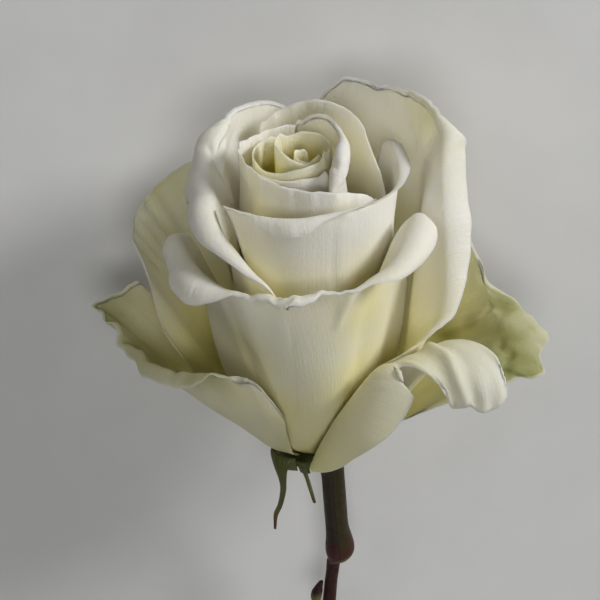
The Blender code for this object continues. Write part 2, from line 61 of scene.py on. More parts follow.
NEAR_CREST = 0.98     # a lip goes on in the direction from here to the crest
BODY_ROWS = 7         # rows of points in the solids, from claw to crest
LIP_ROWS = 4          # and over a rolled lip
LIP_STEPS = 24        # steps that a lip's roll is summed in
FINE = 6              # fine rows for each of those rows
SPLIT = 4             # the rows are split again, then kept more closely towards the rim
GATHER = 1.5          # how much more closely: 1 is evenly
BODY_LINES = 54       # lines of points that are kept, from claw to crest
LIP_LINES = 36        # and over a rolled lip
BROAD_LIP = 9.0       # a rolled rim this broad has relief of its own
RIB_STEPS = 8         # fine columns from one rib to the next
LEAF = 0.32           # thickness of a petal
EDGE_TAPER = 1.0      # how far in from its edge a blade thins out
EDGE_THIN = 0.2       # what is left of its thickness at the edge
FADE = 6              # degrees of turn over which a ruffled stretch of rim fades in
SEPAL_LEAF = 0.45     # thickness of a sepal
SEPAL_TROUGH = 0.25   # depth of its trough for each millimetre of half width
SEPAL_COLUMNS = 13
SEPAL_SIDE = 3.0      # its aside runs from minus this to this
RING_STEPS = 6        # fine rings from one ring of the stem, or row of a sepal, to the next
STEM_SIDES = 40
BUD_SIDES = 16
CORE_SIDES = 12
STEM_LENGTH = 96.0
NODE_LIP = 31.7       # how far down the middle of the node's pale lip lies
NODE_SLANT = 1.0
NODE_HALF = 0.5       # half the width of that lip
BUD_PALE = 40.5       # how far down the bud turns pale

TILT = radians(14.1)  # how far the axis rises from the floor towards the bloom
ROLL = radians(1.0)   # how far the flower is turned about its axis
LIFT = 25.4           # where the middle of the hip's rim comes to lie
ALONG = 7.2
ASIDE = -2.7

# Scales of the noise in the materials, in cells for each metre.
CLOUDS = 45.0
FLECKS = 90.0
BLOTCHES = 160.0
DOTS = 900.0
GRAIN = 1100.0
FLOOR_FLECKS = 60.0
PETAL_SPAN = 90.0     # the way up a petal that its colours are spread over
# Sets the width of the brighter line painted along a petal's edge, a painted highlight.
RIM_HIGHLIGHT_BAND = 3.0
STEM_SPAN = 100.0     # the way down the stem that its colours are spread over

# The studio, in metres. The camera's own distance and aim are in the flower's millimetres.
FLOOR_SIZE = 4.0
BLOOM = (0.0, 0.04, 0.03)
CAMERA_ABOVE = radians(30.0)    # the photograph's camera, above the upright flower's level
CAMERA_LEAN = radians(5.0)
CAMERA_DISTANCE = 367.5
CAMERA_AIM = np.array([-1.0, 0.0, 36.6])
CAMERA_LENS = 105.0             # in mm, as its sensor's width is
CAMERA_SENSOR = 36.0

# The petals' shapes, the same as in the solids.
# The claw is (turn, half width in degrees, radius), and rise is the slope there. Each rib is its crest
# (turn, radius, height) and the slope that it has there, 90 being straight up and 0 outward. Where it
# goes on as a lip, that many millimetres roll outward by that many degrees. A lip with a snap above 1
# folds over sharply and then hangs straight.
Petal = namedtuple("Petal", "name claw rise ribs late reach shift per_gap snap", defaults=(0, 1.1, 0, 1, 1))
WHORLS = [
    Petal("whorl_a", (-60, 150, 1), 84, [
        (-215, 1.2, 50, 92), (-200, 1.6, 68, 92), (-130, 2.2, 70.6, 92), (-60, 2.6, 70.4, 92),
        (0, 2.8, 69.6, 92), (60, 2.9, 70.4, 94), (110, 2.6, 68, 94)], shift=2.8, per_gap=2),
    Petal("whorl_b", (-20, 120, 1.6), 80, [
        (-134, 4.4, 50, 92), (-126, 5, 71.5, 94), (-98, 5.3, 73, 94), (-70, 5.3, 73.2, 94),
        (-52, 5, 72.2, 94), (-33, 4.6, 71.2, 94), (-8, 4.5, 70.4, 94), (14, 4.5, 69.9, 94),
        (50, 4.5, 69.6, 94), (78, 4.4, 70, 94), (86, 4, 50, 92)], shift=2, per_gap=2),
    Petal("whorl_c", (138, 125, 2.3), 76, [
        (34, 5.4, 50, 92), (42, 5.8, 70, 94), (64, 6, 71.6, 94), (106, 6, 71.8, 94), (144, 6, 72.3, 94),
        (171, 6.2, 72.3, 94), (201, 6.3, 71.7, 94), (228, 6.3, 71.2, 94), (240, 5.6, 50, 92)],
        shift=1.8, per_gap=2),
    Petal("whorl_d", (-20, 125, 3), 72, [
        (-170, 6.8, 50, 92), (-158, 7.8, 69.5, 94), (-128, 8.4, 71.2, 94), (-98, 8.6, 71.4, 94),
        (-76, 8.4, 70.4, 94), (-55, 8, 69.4, 94), (-30, 7.6, 69.6, 94), (-7, 7.2, 70.2, 94),
        (17, 7.1, 70.6, 94), (39, 7.1, 70.6, 94), (56, 7.1, 70.4, 94), (66, 6.4, 50, 92)],
        shift=0.6, per_gap=2),
]

PETALS = [
    Petal("inner_front", (-4, 48, 3.8), 66, [
        (-108, 8, 45, 92), (-98, 8.8, 63, 92), (-78, 8.9, 67.5, 94), (-58, 9, 69, 94), (-38, 9, 68.8, 94),
        (-16, 8.8, 68.6, 95), (4, 8.7, 68.9, 95), (24, 8.6, 68.6, 94), (40, 8.5, 67.6, 94),
        (50, 7.8, 45, 90)], shift=0.8, per_gap=2),
    Petal("inner_right", (112, 46, 3.8), 62, [
        (26, 9.6, 45, 92, 1, 20), (31, 9.8, 67, 92, 4.4, 165), (38, 9.6, 70.4, 92, 5.6, 165),
        (50, 9.2, 72.6, 92, 5.6, 165), (66, 8.8, 73.4, 92, 4.2, 165), (88, 8.6, 73.4, 92, 2.4, 160),
        (108, 8.8, 73.4, 92, 1.2, 120), (124, 9.2, 73.6, 92, 1, 60), (140, 9.6, 74, 92, 1, 20),
        (156, 10, 73.4, 92, 1, 20), (170, 10.2, 72, 92, 1, 20), (180, 10.2, 69, 92, 1, 20),
        (188, 9.2, 45, 92, 1, 20)], shift=1, snap=2.6),
    Petal("inner_left", (-126, 42, 3.8), 57, [
        (-224, 9.6, 45, 90), (-214, 11.4, 67, 90), (-198, 11.8, 70.2, 90), (-176, 11.6, 71.2, 90),
        (-152, 10.8, 71.6, 90), (-128, 10.2, 71.8, 90), (-104, 10, 72.2, 90), (-78, 10, 72, 90),
        (-58, 10.6, 71.4, 90), (-40, 11.2, 70.4, 91), (-22, 11.7, 69.4, 92), (0, 12.3, 68.6, 92),
        (25, 13, 67.6, 92), (46, 13.8, 66, 92), (62, 14.4, 63.6, 92), (74, 14.6, 61.2, 92),
        (84, 15, 58.4, 92), (90, 13, 45, 90)], shift=1.3),
    Petal("inner_back", (152, 44, 4.8), 56, [
        (68, 13, 45, 90), (84, 15.6, 56, 92), (100, 16.8, 62, 90), (112, 17.2, 66, 86),
        (120, 17.6, 69.6, 86), (129, 18, 72, 84), (143, 18, 73.5, 82), (158, 18, 74.4, 82),
        (170, 18.2, 73.8, 82), (184, 18.4, 72.4, 84), (195, 18, 70.6, 86), (202, 17.2, 67.5, 88),
        (208, 14.5, 45, 90)]),
    Petal("front", (24, 44, 4.8), 50, [
        (-40, 15.4, 46, 86, 1, 10), (-45, 16, 56, 88, 1, 10), (-49, 16.5, 61.4, 90, 1, 10),
        (-54, 17.2, 64.3, 90, 1, 30), (-40, 16.9, 64.6, 92, 1.6, 90), (-28, 17, 64.5, 92, 2.4, 100),
        (-21, 17.1, 64.4, 92, 5.2, 168), (-8, 17.3, 64.3, 91, 5.4, 170), (5, 17.4, 64.2, 90, 4.6, 165),
        (17, 17.5, 64.3, 90, 2.6, 120), (34, 17.8, 64, 90, 1.8, 80), (58, 19, 63.2, 86, 1.2, 60),
        (80, 20.2, 62.6, 80, 2, 80), (98, 21.2, 64.5, 74, 3.2, 106), (112, 21.6, 66.4, 74, 3.2, 106),
        (122, 21.2, 63, 80, 1, 40), (126, 18.4, 48, 86, 1, 10)], late=0.75, snap=2.4),
    Petal("left", (-98, 40, 4.8), 50, [
        (-196, 17, 48, 86, 1, 0), (-188, 20.4, 66, 84, 1, 20), (-176, 22, 70.6, 80, 1, 40),
        (-162, 22.4, 72, 76, 1.2, 50), (-148, 22.2, 71.8, 72, 1.3, 60), (-136, 20.6, 70.6, 68, 2.4, 80),
        (-125, 18.4, 69.4, 60, 4.4, 95), (-114, 16, 68, 50, 6.8, 105), (-103, 14.6, 66.6, 42, 9, 110),
        (-91, 14.2, 65.4, 40, 10, 110), (-79, 14.4, 64.8, 44, 9.8, 114), (-67, 15.4, 64.2, 54, 9.4, 125),
        (-56, 18.4, 63, 66, 8.6, 136), (-46, 20, 60.6, 68, 7.4, 134), (-36, 21, 58, 70, 5.2, 125),
        (-26, 22, 54.8, 72, 3, 100), (-16, 22.6, 51, 76, 1.6, 60), (-8, 21, 40, 84, 1, 10)]),
    Petal("back_inner", (188, 38, 5.9), 46, [
        (120, 18, 44, 84), (130, 23, 58, 82), (152, 24.6, 64, 80), (178, 25, 65, 80), (204, 25, 63.5, 80),
        (226, 24, 58, 82), (236, 19, 42, 84)], per_gap=2),
    Petal("lower_front", (2, 46, 5.9), 42, [
        (-116, 20, 36, 84, 1, 20), (-108, 23.2, 48, 78, 1, 60), (-98, 23.8, 51.8, 72, 2.6, 105),
        (-88, 23.8, 53.6, 66, 4.4, 125), (-77, 23.8, 54, 62, 5.8, 140), (-66, 23.9, 53.6, 60, 7.4, 150),
        (-54, 24.3, 52.8, 60, 9.4, 155), (-45, 24.2, 51.8, 60, 10, 155), (-37, 24.3, 51, 68, 6.4, 140),
        (-29, 24.6, 51.2, 78, 2.8, 110), (-18, 24.6, 51.3, 82, 3.6, 150), (-7, 24.6, 51.2, 84, 4.2, 165),
        (5, 24.6, 51.3, 84, 3, 150), (16, 24.7, 51.4, 80, 1.6, 100), (26, 24.8, 51.8, 70, 2.5, 100),
        (38, 25, 53.2, 46, 5.5, 120), (48, 24.6, 55.2, 32, 7.4, 120), (57, 24, 57, 26, 8.4, 120),
        (65, 23.6, 58.2, 30, 8, 120), (71, 23.6, 58.2, 34, 6.4, 120), (77, 24, 56.2, 44, 3.8, 110),
        (84, 23.6, 52, 62, 1.6, 80), (92, 22.6, 45, 78, 1, 20), (99, 20, 34, 84, 1, 10)]),
    Petal("right_back", (94, 36, 5.9), 47, [
        (42, 20, 27, 74, 1, 10), (54, 26, 32, 66, 1.4, 50), (66, 29, 36.6, 62, 4.6, 95),
        (74, 29.2, 43.6, 60, 8.2, 105), (80, 28.9, 51.2, 58, 9.8, 106), (85, 28.8, 59, 58, 10.6, 106),
        (90, 29, 66, 60, 9, 104), (97, 30, 70.8, 64, 3.8, 95), (106, 30.6, 73.2, 68, 2, 75),
        (118, 30.2, 74, 72, 1.5, 60), (130, 29.5, 73.7, 76, 1.2, 50), (142, 29.2, 73.4, 78, 1, 40),
        (153, 29.6, 74, 78, 1, 10), (158, 29.4, 72.8, 78, 1, 10), (168, 28, 66, 80, 1, 10),
        (172, 24, 45, 84, 1, 10)]),
    Petal("left_back", (-96, 32, 5.9), 42, [
        (-86, 24, 20, 66, 1, 10), (-88, 30, 33, 70, 1, 20), (-92, 32, 44, 68, 1, 40),
        (-101, 35.2, 50.5, 62, 1.5, 60), (-115, 36, 53.5, 62, 1.5, 60), (-128, 35.6, 55.5, 64, 1.5, 60),
        (-142, 34.4, 57, 66, 1.5, 60), (-158, 33.4, 56, 68, 1.5, 60), (-170, 31, 50, 72, 1, 40),
        (-174, 26, 32, 76, 1, 10)]),
    Petal("back_right", (150, 38, 7.1), 44, [
        (104, 26, 36, 76, 1, 10), (112, 32, 48, 68, 1, 40), (128, 33.6, 55, 64, 1.5, 60),
        (146, 34, 57, 62, 2, 70), (164, 33.6, 56, 64, 1.5, 60), (180, 32.6, 52, 66, 1, 40),
        (190, 28, 38, 76, 1, 10)]),
    Petal("guard_left", (-72, 38, 7), 44, [
        (-106, 19, 14, 46, 1, 10), (-112, 31, 26, 42, 1, 10), (-114, 37.5, 34, 46, 1, 10),
        (-111, 39.5, 35, 46, 1, 10), (-106, 41.2, 34.4, 44, 1, 10), (-101, 45.6, 34.2, 40, 1, 10),
        (-96, 42, 33.6, 42, 1, 20), (-88, 39, 32.4, 48, 1.6, 60), (-80, 36.2, 30.8, 56, 3.2, 130),
        (-72, 33, 29.8, 60, 4.6, 160), (-62, 30, 29.8, 64, 4.6, 160), (-52, 27.6, 31, 76, 3.4, 140),
        (-42, 25.6, 32, 80, 1.6, 60), (-28, 23.4, 31.6, 84, 1, 20), (-18, 16.5, 20, 76, 1, 10)],
        reach=0.9, snap=2),
    Petal("guard_front_right", (31, 39, 7.2), 42, [
        (-10, 12.4, 2.6, -10, 1.5, 60), (-3, 15, 8, -20, 7, 90), (5, 17.6, 14, -20, 9.5, 95),
        (14, 20.2, 20.4, -14, 12, 100), (24, 22.6, 26.6, -4, 12.8, 106), (31, 24.2, 30.4, 6, 11, 110),
        (37, 25, 32, 20, 6, 110), (41, 24.4, 31, 46, 4, 60), (45, 25, 31.6, 22, 17, 116),
        (52, 26, 32.2, 14, 21, 112), (58, 27.4, 32.2, 12, 22.5, 104), (64, 29.4, 31.6, 10, 21, 94),
        (69, 31.4, 30.4, 14, 16, 82), (73, 31.6, 27, 24, 7, 60)], reach=0.9),
    Petal("guard_right", (102, 31, 8.3), 42, [
        (62, 22, 11, 36, 1, 10), (68, 32, 18, 34, 6, 60), (74, 37, 22, 30, 9, 80),
        (80, 39.5, 23, 20, 11.5, 84), (86, 40.6, 24.8, 20, 12, 84), (91, 40.4, 26.8, 28, 9, 76),
        (95, 40, 29, 42, 5, 60), (99, 39.4, 33, 56, 1.2, 50), (105, 38, 39, 64, 1, 40),
        (113, 36.4, 45, 70, 1, 30), (122, 35.2, 48.5, 72, 1, 30), (132, 34, 46, 72, 1, 10),
        (138, 29, 32, 70, 1, 10)], reach=0.95),
    Petal("guard_back", (186, 36, 8.1), 40, [
        (138, 24, 18, 60, 1, 10), (146, 33, 32, 56, 1, 30), (156, 36.4, 40, 54, 2, 60),
        (166, 36.6, 43, 54, 2, 60), (181, 35.4, 43.5, 56, 2, 60), (196, 36.6, 43, 54, 2, 60),
        (206, 36.4, 40, 54, 2, 60), (216, 33, 32, 56, 1, 30), (224, 24, 18, 60, 1, 10)]),
]

# Centre (across, depth, height) and radius of the stem's rings, from the hip's rim to the cut end.
STEM = [
    (0, 0, 0.5, 8.6), (0, 0, -0.4, 8.8), (0.2, 0, -1.4, 7.9), (0.9, 0, -2.8, 5.8), (2, 0, -4.4, 3.9),
    (2.7, 0, -6.2, 2.9), (2.9, 0, -9, 2.6), (2.9, 0, -15, 2.6), (2.9, 0, -22.5, 2.6), (3.1, 0, -25.6, 2.9),
    (3.2, 0, -28.4, 3.3), (3.1, 0, -30.4, 3.2), (2.7, 0, -32, 2.5), (1.6, 0, -33, 1.7), (1, 0, -36, 1.5),
    (0.2, 0, -41, 1.5), (-1.4, 0, -54, 1.7), (-2.4, 0, -70, 1.8), (-2.8, 0, -86, 1.9),
    (-2.7, 0, -STEM_LENGTH, 2),
]
CORE = [
    (0, 0, 1.1, 2.6), (0, 0, 8, 3.1), (0.3, 0, 20, 3.6), (0.7, 0, 32, 3.7), (1.4, 0, 42, 3.2),
    (2.2, 0, 50, 2.2), (2.8, 0, 55, 1),
]
BUD = [(-1.8, -0.3, -38.6, 0.5), (-2.4, -0.4, -39.8, 0.9), (-3, -0.5, -41.4, 1.3),
       (-3.3, -0.4, -43.2, 1.2), (-3.2, -0.3, -44.8, 0.5)]

# Sepals: the turn, then a path of (turn offset, radius, height, half width) from the hip's rim to the tip.
SEPALS = {
    "sepal_1": (-47, [(0, 9.9, -1.4, 2.8), (0, 11.2, 2.6, 3.6), (1, 12.4, 2.8, 3.5), (5, 13.1, 0.6, 2),
                      (7, 13, -2.2, 1.1), (6, 12.8, -5.2, 0.8), (0, 12.8, -9.6, 0.7),
                      (-7, 13.1, -13, 0.7), (-8, 13.4, -16.6, 0.4)]),
    "sepal_2": (-19, [(0, 9.7, -1.4, 1.2), (-1, 11.2, 2.4, 1.3), (1, 11.8, 1.6, 0.9), (4, 11.6, -0.6, 0.5),
                      (7, 11.2, -4.4, 0.45), (10, 10.9, -8.2, 0.35)]),
    "sepal_3": (88, [(0, 9.5, -0.8, 3.2), (0, 11.2, -0.7, 3.2), (0, 13, 0.7, 2.4),
                     (0, 15, 2.4, 1.4), (0, 16.8, 3.8, 0.5)]),
    "sepal_4": (138, [(0, 9.5, -1.2, 3.2), (0, 10.4, -1, 3.2), (1, 11.8, -3, 2.2),
                      (3, 12.8, -7, 1.2), (4, 13.4, -12, 0.5)]),
    "sepal_5": (-128, [(0, 9.5, -1.3, 3.2), (0, 10.4, -1, 3.2), (-1, 11.8, -3.2, 2.2),
                       (-2, 12.4, -7.6, 1.3), (-4, 12.6, -13, 0.5)]),
}


def between(keys, per_gap):
    """Catmull-Rom curve through the keys, with per_gap steps from one to the next."""
    keys = np.asarray(keys, float)
    if per_gap == 1:
        return keys
    ends = np.vstack([2 * keys[0] - keys[1], keys, 2 * keys[-1] - keys[-2]])
    out = []
    for a, b, c, d in zip(ends, ends[1:], ends[2:], ends[3:]):
        for t in np.linspace(0, 1, per_gap, endpoint=False):
            out.append(0.5 * (2 * b + (c - a) * t + (2 * a - 5 * b + 4 * c - d) * t ** 2
                              + (3 * b - a - 3 * c + d) * t ** 3))
    return np.array(out + [keys[-1]])


def place(turn, radius, height):
    angle = np.radians(turn)
    return np.stack([radius * np.sin(angle), -radius * np.cos(angle), height], -1)


def climb(v, start, reach, ribs, claw_turn, late):
    """Points at v (0 claw, 1 crest) of every rib, a Hermite curve from the claw that turns as it rises."""
    turn, radius, height, flare = ribs.T[:4]
    r0, z0, rise = start
    pull = reach * np.hypot(radius - r0, height - z0)
    a, b = 2 * v ** 3 - 3 * v ** 2 + 1, v ** 3 - 2 * v ** 2 + v
    c, d = 3 * v ** 2 - 2 * v ** 3, v ** 3 - v ** 2
    flare = np.radians(flare)
    last = pull * (FLAT_PULL + (1 - FLAT_PULL) * np.abs(np.sin(flare)))
    r = a * r0 + b * pull * cos(rise) + c * radius + d * last * np.cos(flare)
    z = a * z0 + b * pull * sin(rise) + c * height + d * last * np.sin(flare)
    spread = (1 - late) * (1 - (1 - v) ** EARLY) + late * v ** 3
    return place(claw_turn + (turn - claw_turn) * spread, r, z)


def length(vectors):
    return np.linalg.norm(vectors, axis=-1)


def unit(vectors):
    return vectors / (length(vectors)[..., None] + 1e-12)


def ribs_of(p, per_gap):
    """The petal's ribs, with per_gap steps from one to the next, and no lip where none is given."""
    return between([(*rib, 0, 0)[:6] for rib in p.ribs], per_gap)


def skin(p, body_rows, lip_rows, per_gap):
    """The petal's middle surface as rows of points, from the claw up and over the lip."""
    ribs = ribs_of(p, per_gap)
    turn, half, radius = p.claw
    claw_turn = turn + np.linspace(-1, 1, len(ribs)) * half
    start = (radius, CLAW_HEIGHT, radians(p.rise))
    v = np.linspace(0, 1, body_rows)[:, None]
    body = climb(v, start, p.reach, ribs, claw_turn, p.late)
    rows = [body]
    lip, curl = ribs.T[4:]
    if lip.max() > 0:
        crest = body[-1]
        ahead = unit(crest - climb(NEAR_CREST, start, p.reach, ribs, claw_turn, p.late))
        out = unit(np.cross(np.gradient(crest, axis=0), ahead))
        steps = np.linspace(0, 1, LIP_STEPS, endpoint=False)[:, None] + 0.5 / LIP_STEPS
        angle = np.radians(curl) * (1 - (1 - steps) ** p.snap)
        every = LIP_STEPS // lip_rows
        forward = (np.cumsum(np.cos(angle), 0) * lip / LIP_STEPS)[every - 1::every]
        aside = (np.cumsum(np.sin(angle), 0) * lip / LIP_STEPS)[every - 1::every]
        rows.append(crest + forward[..., None] * ahead + aside[..., None] * out)
    points = np.concatenate(rows)
    points[..., 0] += p.shift * np.clip(points[..., 2] / LEAN_HEIGHT, 0, 1) ** 2
    return points


def numbered(grid):
    """The number of each of the grid's points, counted row by row."""
    return np.arange(grid[..., 0].size).reshape(grid.shape[:2])


def cells_of(index):
    """The four corners of each cell of a grid of numbers."""
    return np.stack([index[:-1, :-1], index[:-1, 1:], index[1:, 1:], index[1:, :-1]], -1).reshape(-1, 4)


def samples(grid):
    """The points of the grid and the middles of its cells and edges, as the four points that carry each."""
    index = numbered(grid)
    own = np.stack([index] * 4, -1).reshape(-1, 4)
    across = np.stack([index[:, :-1], index[:, 1:]] * 2, -1).reshape(-1, 4)
    up = np.stack([index[:-1], index[1:]] * 2, -1).reshape(-1, 4)
    return np.concatenate([own, cells_of(index), across, up])


def push_of(point, tree, room):
    """How far a point has to move to stand clear of the surfaces inside of it."""
    outward = Vector((point[0], point[1], 0)).normalized()
    at = Vector(point)
    hit, _, _, far = tree.ray_cast(at + outward * NUDGE / 2, outward, COVER)
    if hit is not None:
        return outward * (far + room)
    near, _, _, distance = tree.find_nearest(at, room)
    if near is None:
        return None
    away = (at - near).normalized() if distance > 1e-6 else outward
    if away.dot(outward) < LEAST_OUTWARD:
        away = outward
    return away * (room - distance + NUDGE)


def smoothed(field):
    """Each value drawn towards the mean of its four neighbours."""
    padded = np.pad(field, ((1, 1), (1, 1), (0, 0)), mode="edge")
    mean = (padded[:-2, 1:-1] + padded[2:, 1:-1] + padded[1:-1, :-2] + padded[1:-1, 2:]) / 4
    return 0.5 * field + 0.5 * mean


def clear_of(grid, tree, room):
    """The grid moved outward, smoothly, until it stands clear of the petals inside it."""
    moved = np.zeros_like(grid)
    carried = samples(grid)
    for step in range(ROUNDS):
        now = grid + moved
        now[1:, :, 2] = np.maximum(now[1:, :, 2], CLAW_HEIGHT + CLAW_ROOM)
        moved = now - grid
        flat = now.reshape(-1, 3)
        total, hits = np.zeros_like(flat), np.zeros(len(flat))
        for corners in carried:
            if corners.max() < grid.shape[1]:
                continue
            push = push_of(flat[corners].mean(0), tree, room)
            if push is not None:
                who = np.unique(corners)
                total[who] += np.array(push)
                hits[who] += 1
        if not hits.any():
            break
        moved += (total / np.maximum(hits, 1)[:, None]).reshape(grid.shape)
        if step < ROUNDS - HARD_ROUNDS:
            soft = smoothed(moved)
            soft[0] = 0
            moved = soft
    moved[0] = 0
    return moved


def tree_of(grids):
    """The grids' surfaces, two triangles a cell, for finding the nearest of them."""
    points, faces, count = [], [], 0
    for grid in grids:
        cells = count + cells_of(numbered(grid))
        points += grid.reshape(-1, 3).tolist()
        faces += cells[:, [0, 1, 2]].tolist() + cells[:, [0, 2, 3]].tolist()
        count = len(points)
    return BVHTree.FromPolygons(points, faces)


def rounded(rings, turns):
    """Points at the given turns of every ring of (across, depth, height, radius)."""
    x, y, z, radius = (rings[:, i:i + 1] for i in range(4))
    x, y = x + radius * np.sin(turns), y - radius * np.cos(turns)
    return np.stack([x, y, np.repeat(z, len(turns), 1)], -1)


def core_grid():
    """The heart's core as an open grid, for keeping the petals off it."""
    return rounded(np.array(CORE), np.linspace(0, 2 * np.pi, CORE_SIDES + 1))


def laid(points):
    """From the upright flower, in millimetres, to the one that lies on its back, in metres."""
    x, y, z = np.asarray(points, float).reshape(-1, 3).T
    x, y = x * cos(ROLL) + y * sin(ROLL), x * sin(ROLL) - y * cos(ROLL)
    along = z * cos(TILT) - y * sin(TILT)
    up = z * sin(TILT) + y * cos(TILT)
    return np.stack([x + ASIDE, along + ALONG, up + LIFT], 1) * MM


def laid_way(direction):
    """A direction of the upright flower as it lies."""
    return laid([direction])[0] - laid([(0, 0, 0)])[0]


# Surfaces

def refined(field, row_steps, col_steps):
    """A smooth field over a grid, read at row_steps by col_steps points for each of its cells."""
    rows, cols = field.shape[:2]
    tall = between(field.reshape(rows, -1), row_steps).reshape(-1, cols, 3)
    wide = between(tall.transpose(1, 0, 2).reshape(cols, -1), col_steps)
    return wide.reshape(-1, tall.shape[0], 3).transpose(1, 0, 2)


def grid_normals(grid):
    """The outward normal at each point of a petal's grid."""
    return unit(np.cross(np.gradient(grid, axis=1), np.gradient(grid, axis=0)))


def sweep(rings, sides):
    """A closed round bar through rings of (across, depth, height, radius), and its faces."""
    grid = rounded(rings, np.linspace(0, 2 * np.pi, sides, endpoint=False))
    points = np.concatenate([grid.reshape(-1, 3), rings[[0, -1], :3]])
    index = numbered(grid)
    after = np.roll(index, -1, 1)
    faces = np.stack([index[:-1], index[1:], after[1:], after[:-1]], -1).reshape(-1, 4).tolist()
    faces += [(a, b, len(points) - 2) for a, b in zip(index[0], after[0])]
    faces += [(b, a, len(points) - 1) for a, b in zip(index[-1], after[-1])]
    return points, faces


def fine_blade(turn, path):
    """A sepal's middle surface: its path, widened to both sides, and a little troughed along the middle."""
    offset, radius, height, half = (path[:, i:i + 1] for i in range(4))
    wide = half * np.linspace(-1, 1, SEPAL_COLUMNS)
    angle = turn + offset + np.degrees(wide / radius)
    return place(angle, radius - SEPAL_TROUGH * np.abs(wide), np.repeat(height, SEPAL_COLUMNS, 1))


def smooth(t):
    """From 0 at 0 to 1 at 1, and level at both."""
    t = np.clip(t, 0, 1)
    return t * t * (3 - 2 * t)


def bell(t):
    """1 where t is 0, and next to nothing from about 2."""
    return np.exp(-t ** 2)


def noise_at(places):
    """Soft noise, from about -1 to 1, at each of the places."""
    return np.array([noise.noise(spot) for spot in places.reshape(-1, 3)]).reshape(places.shape[:-1])


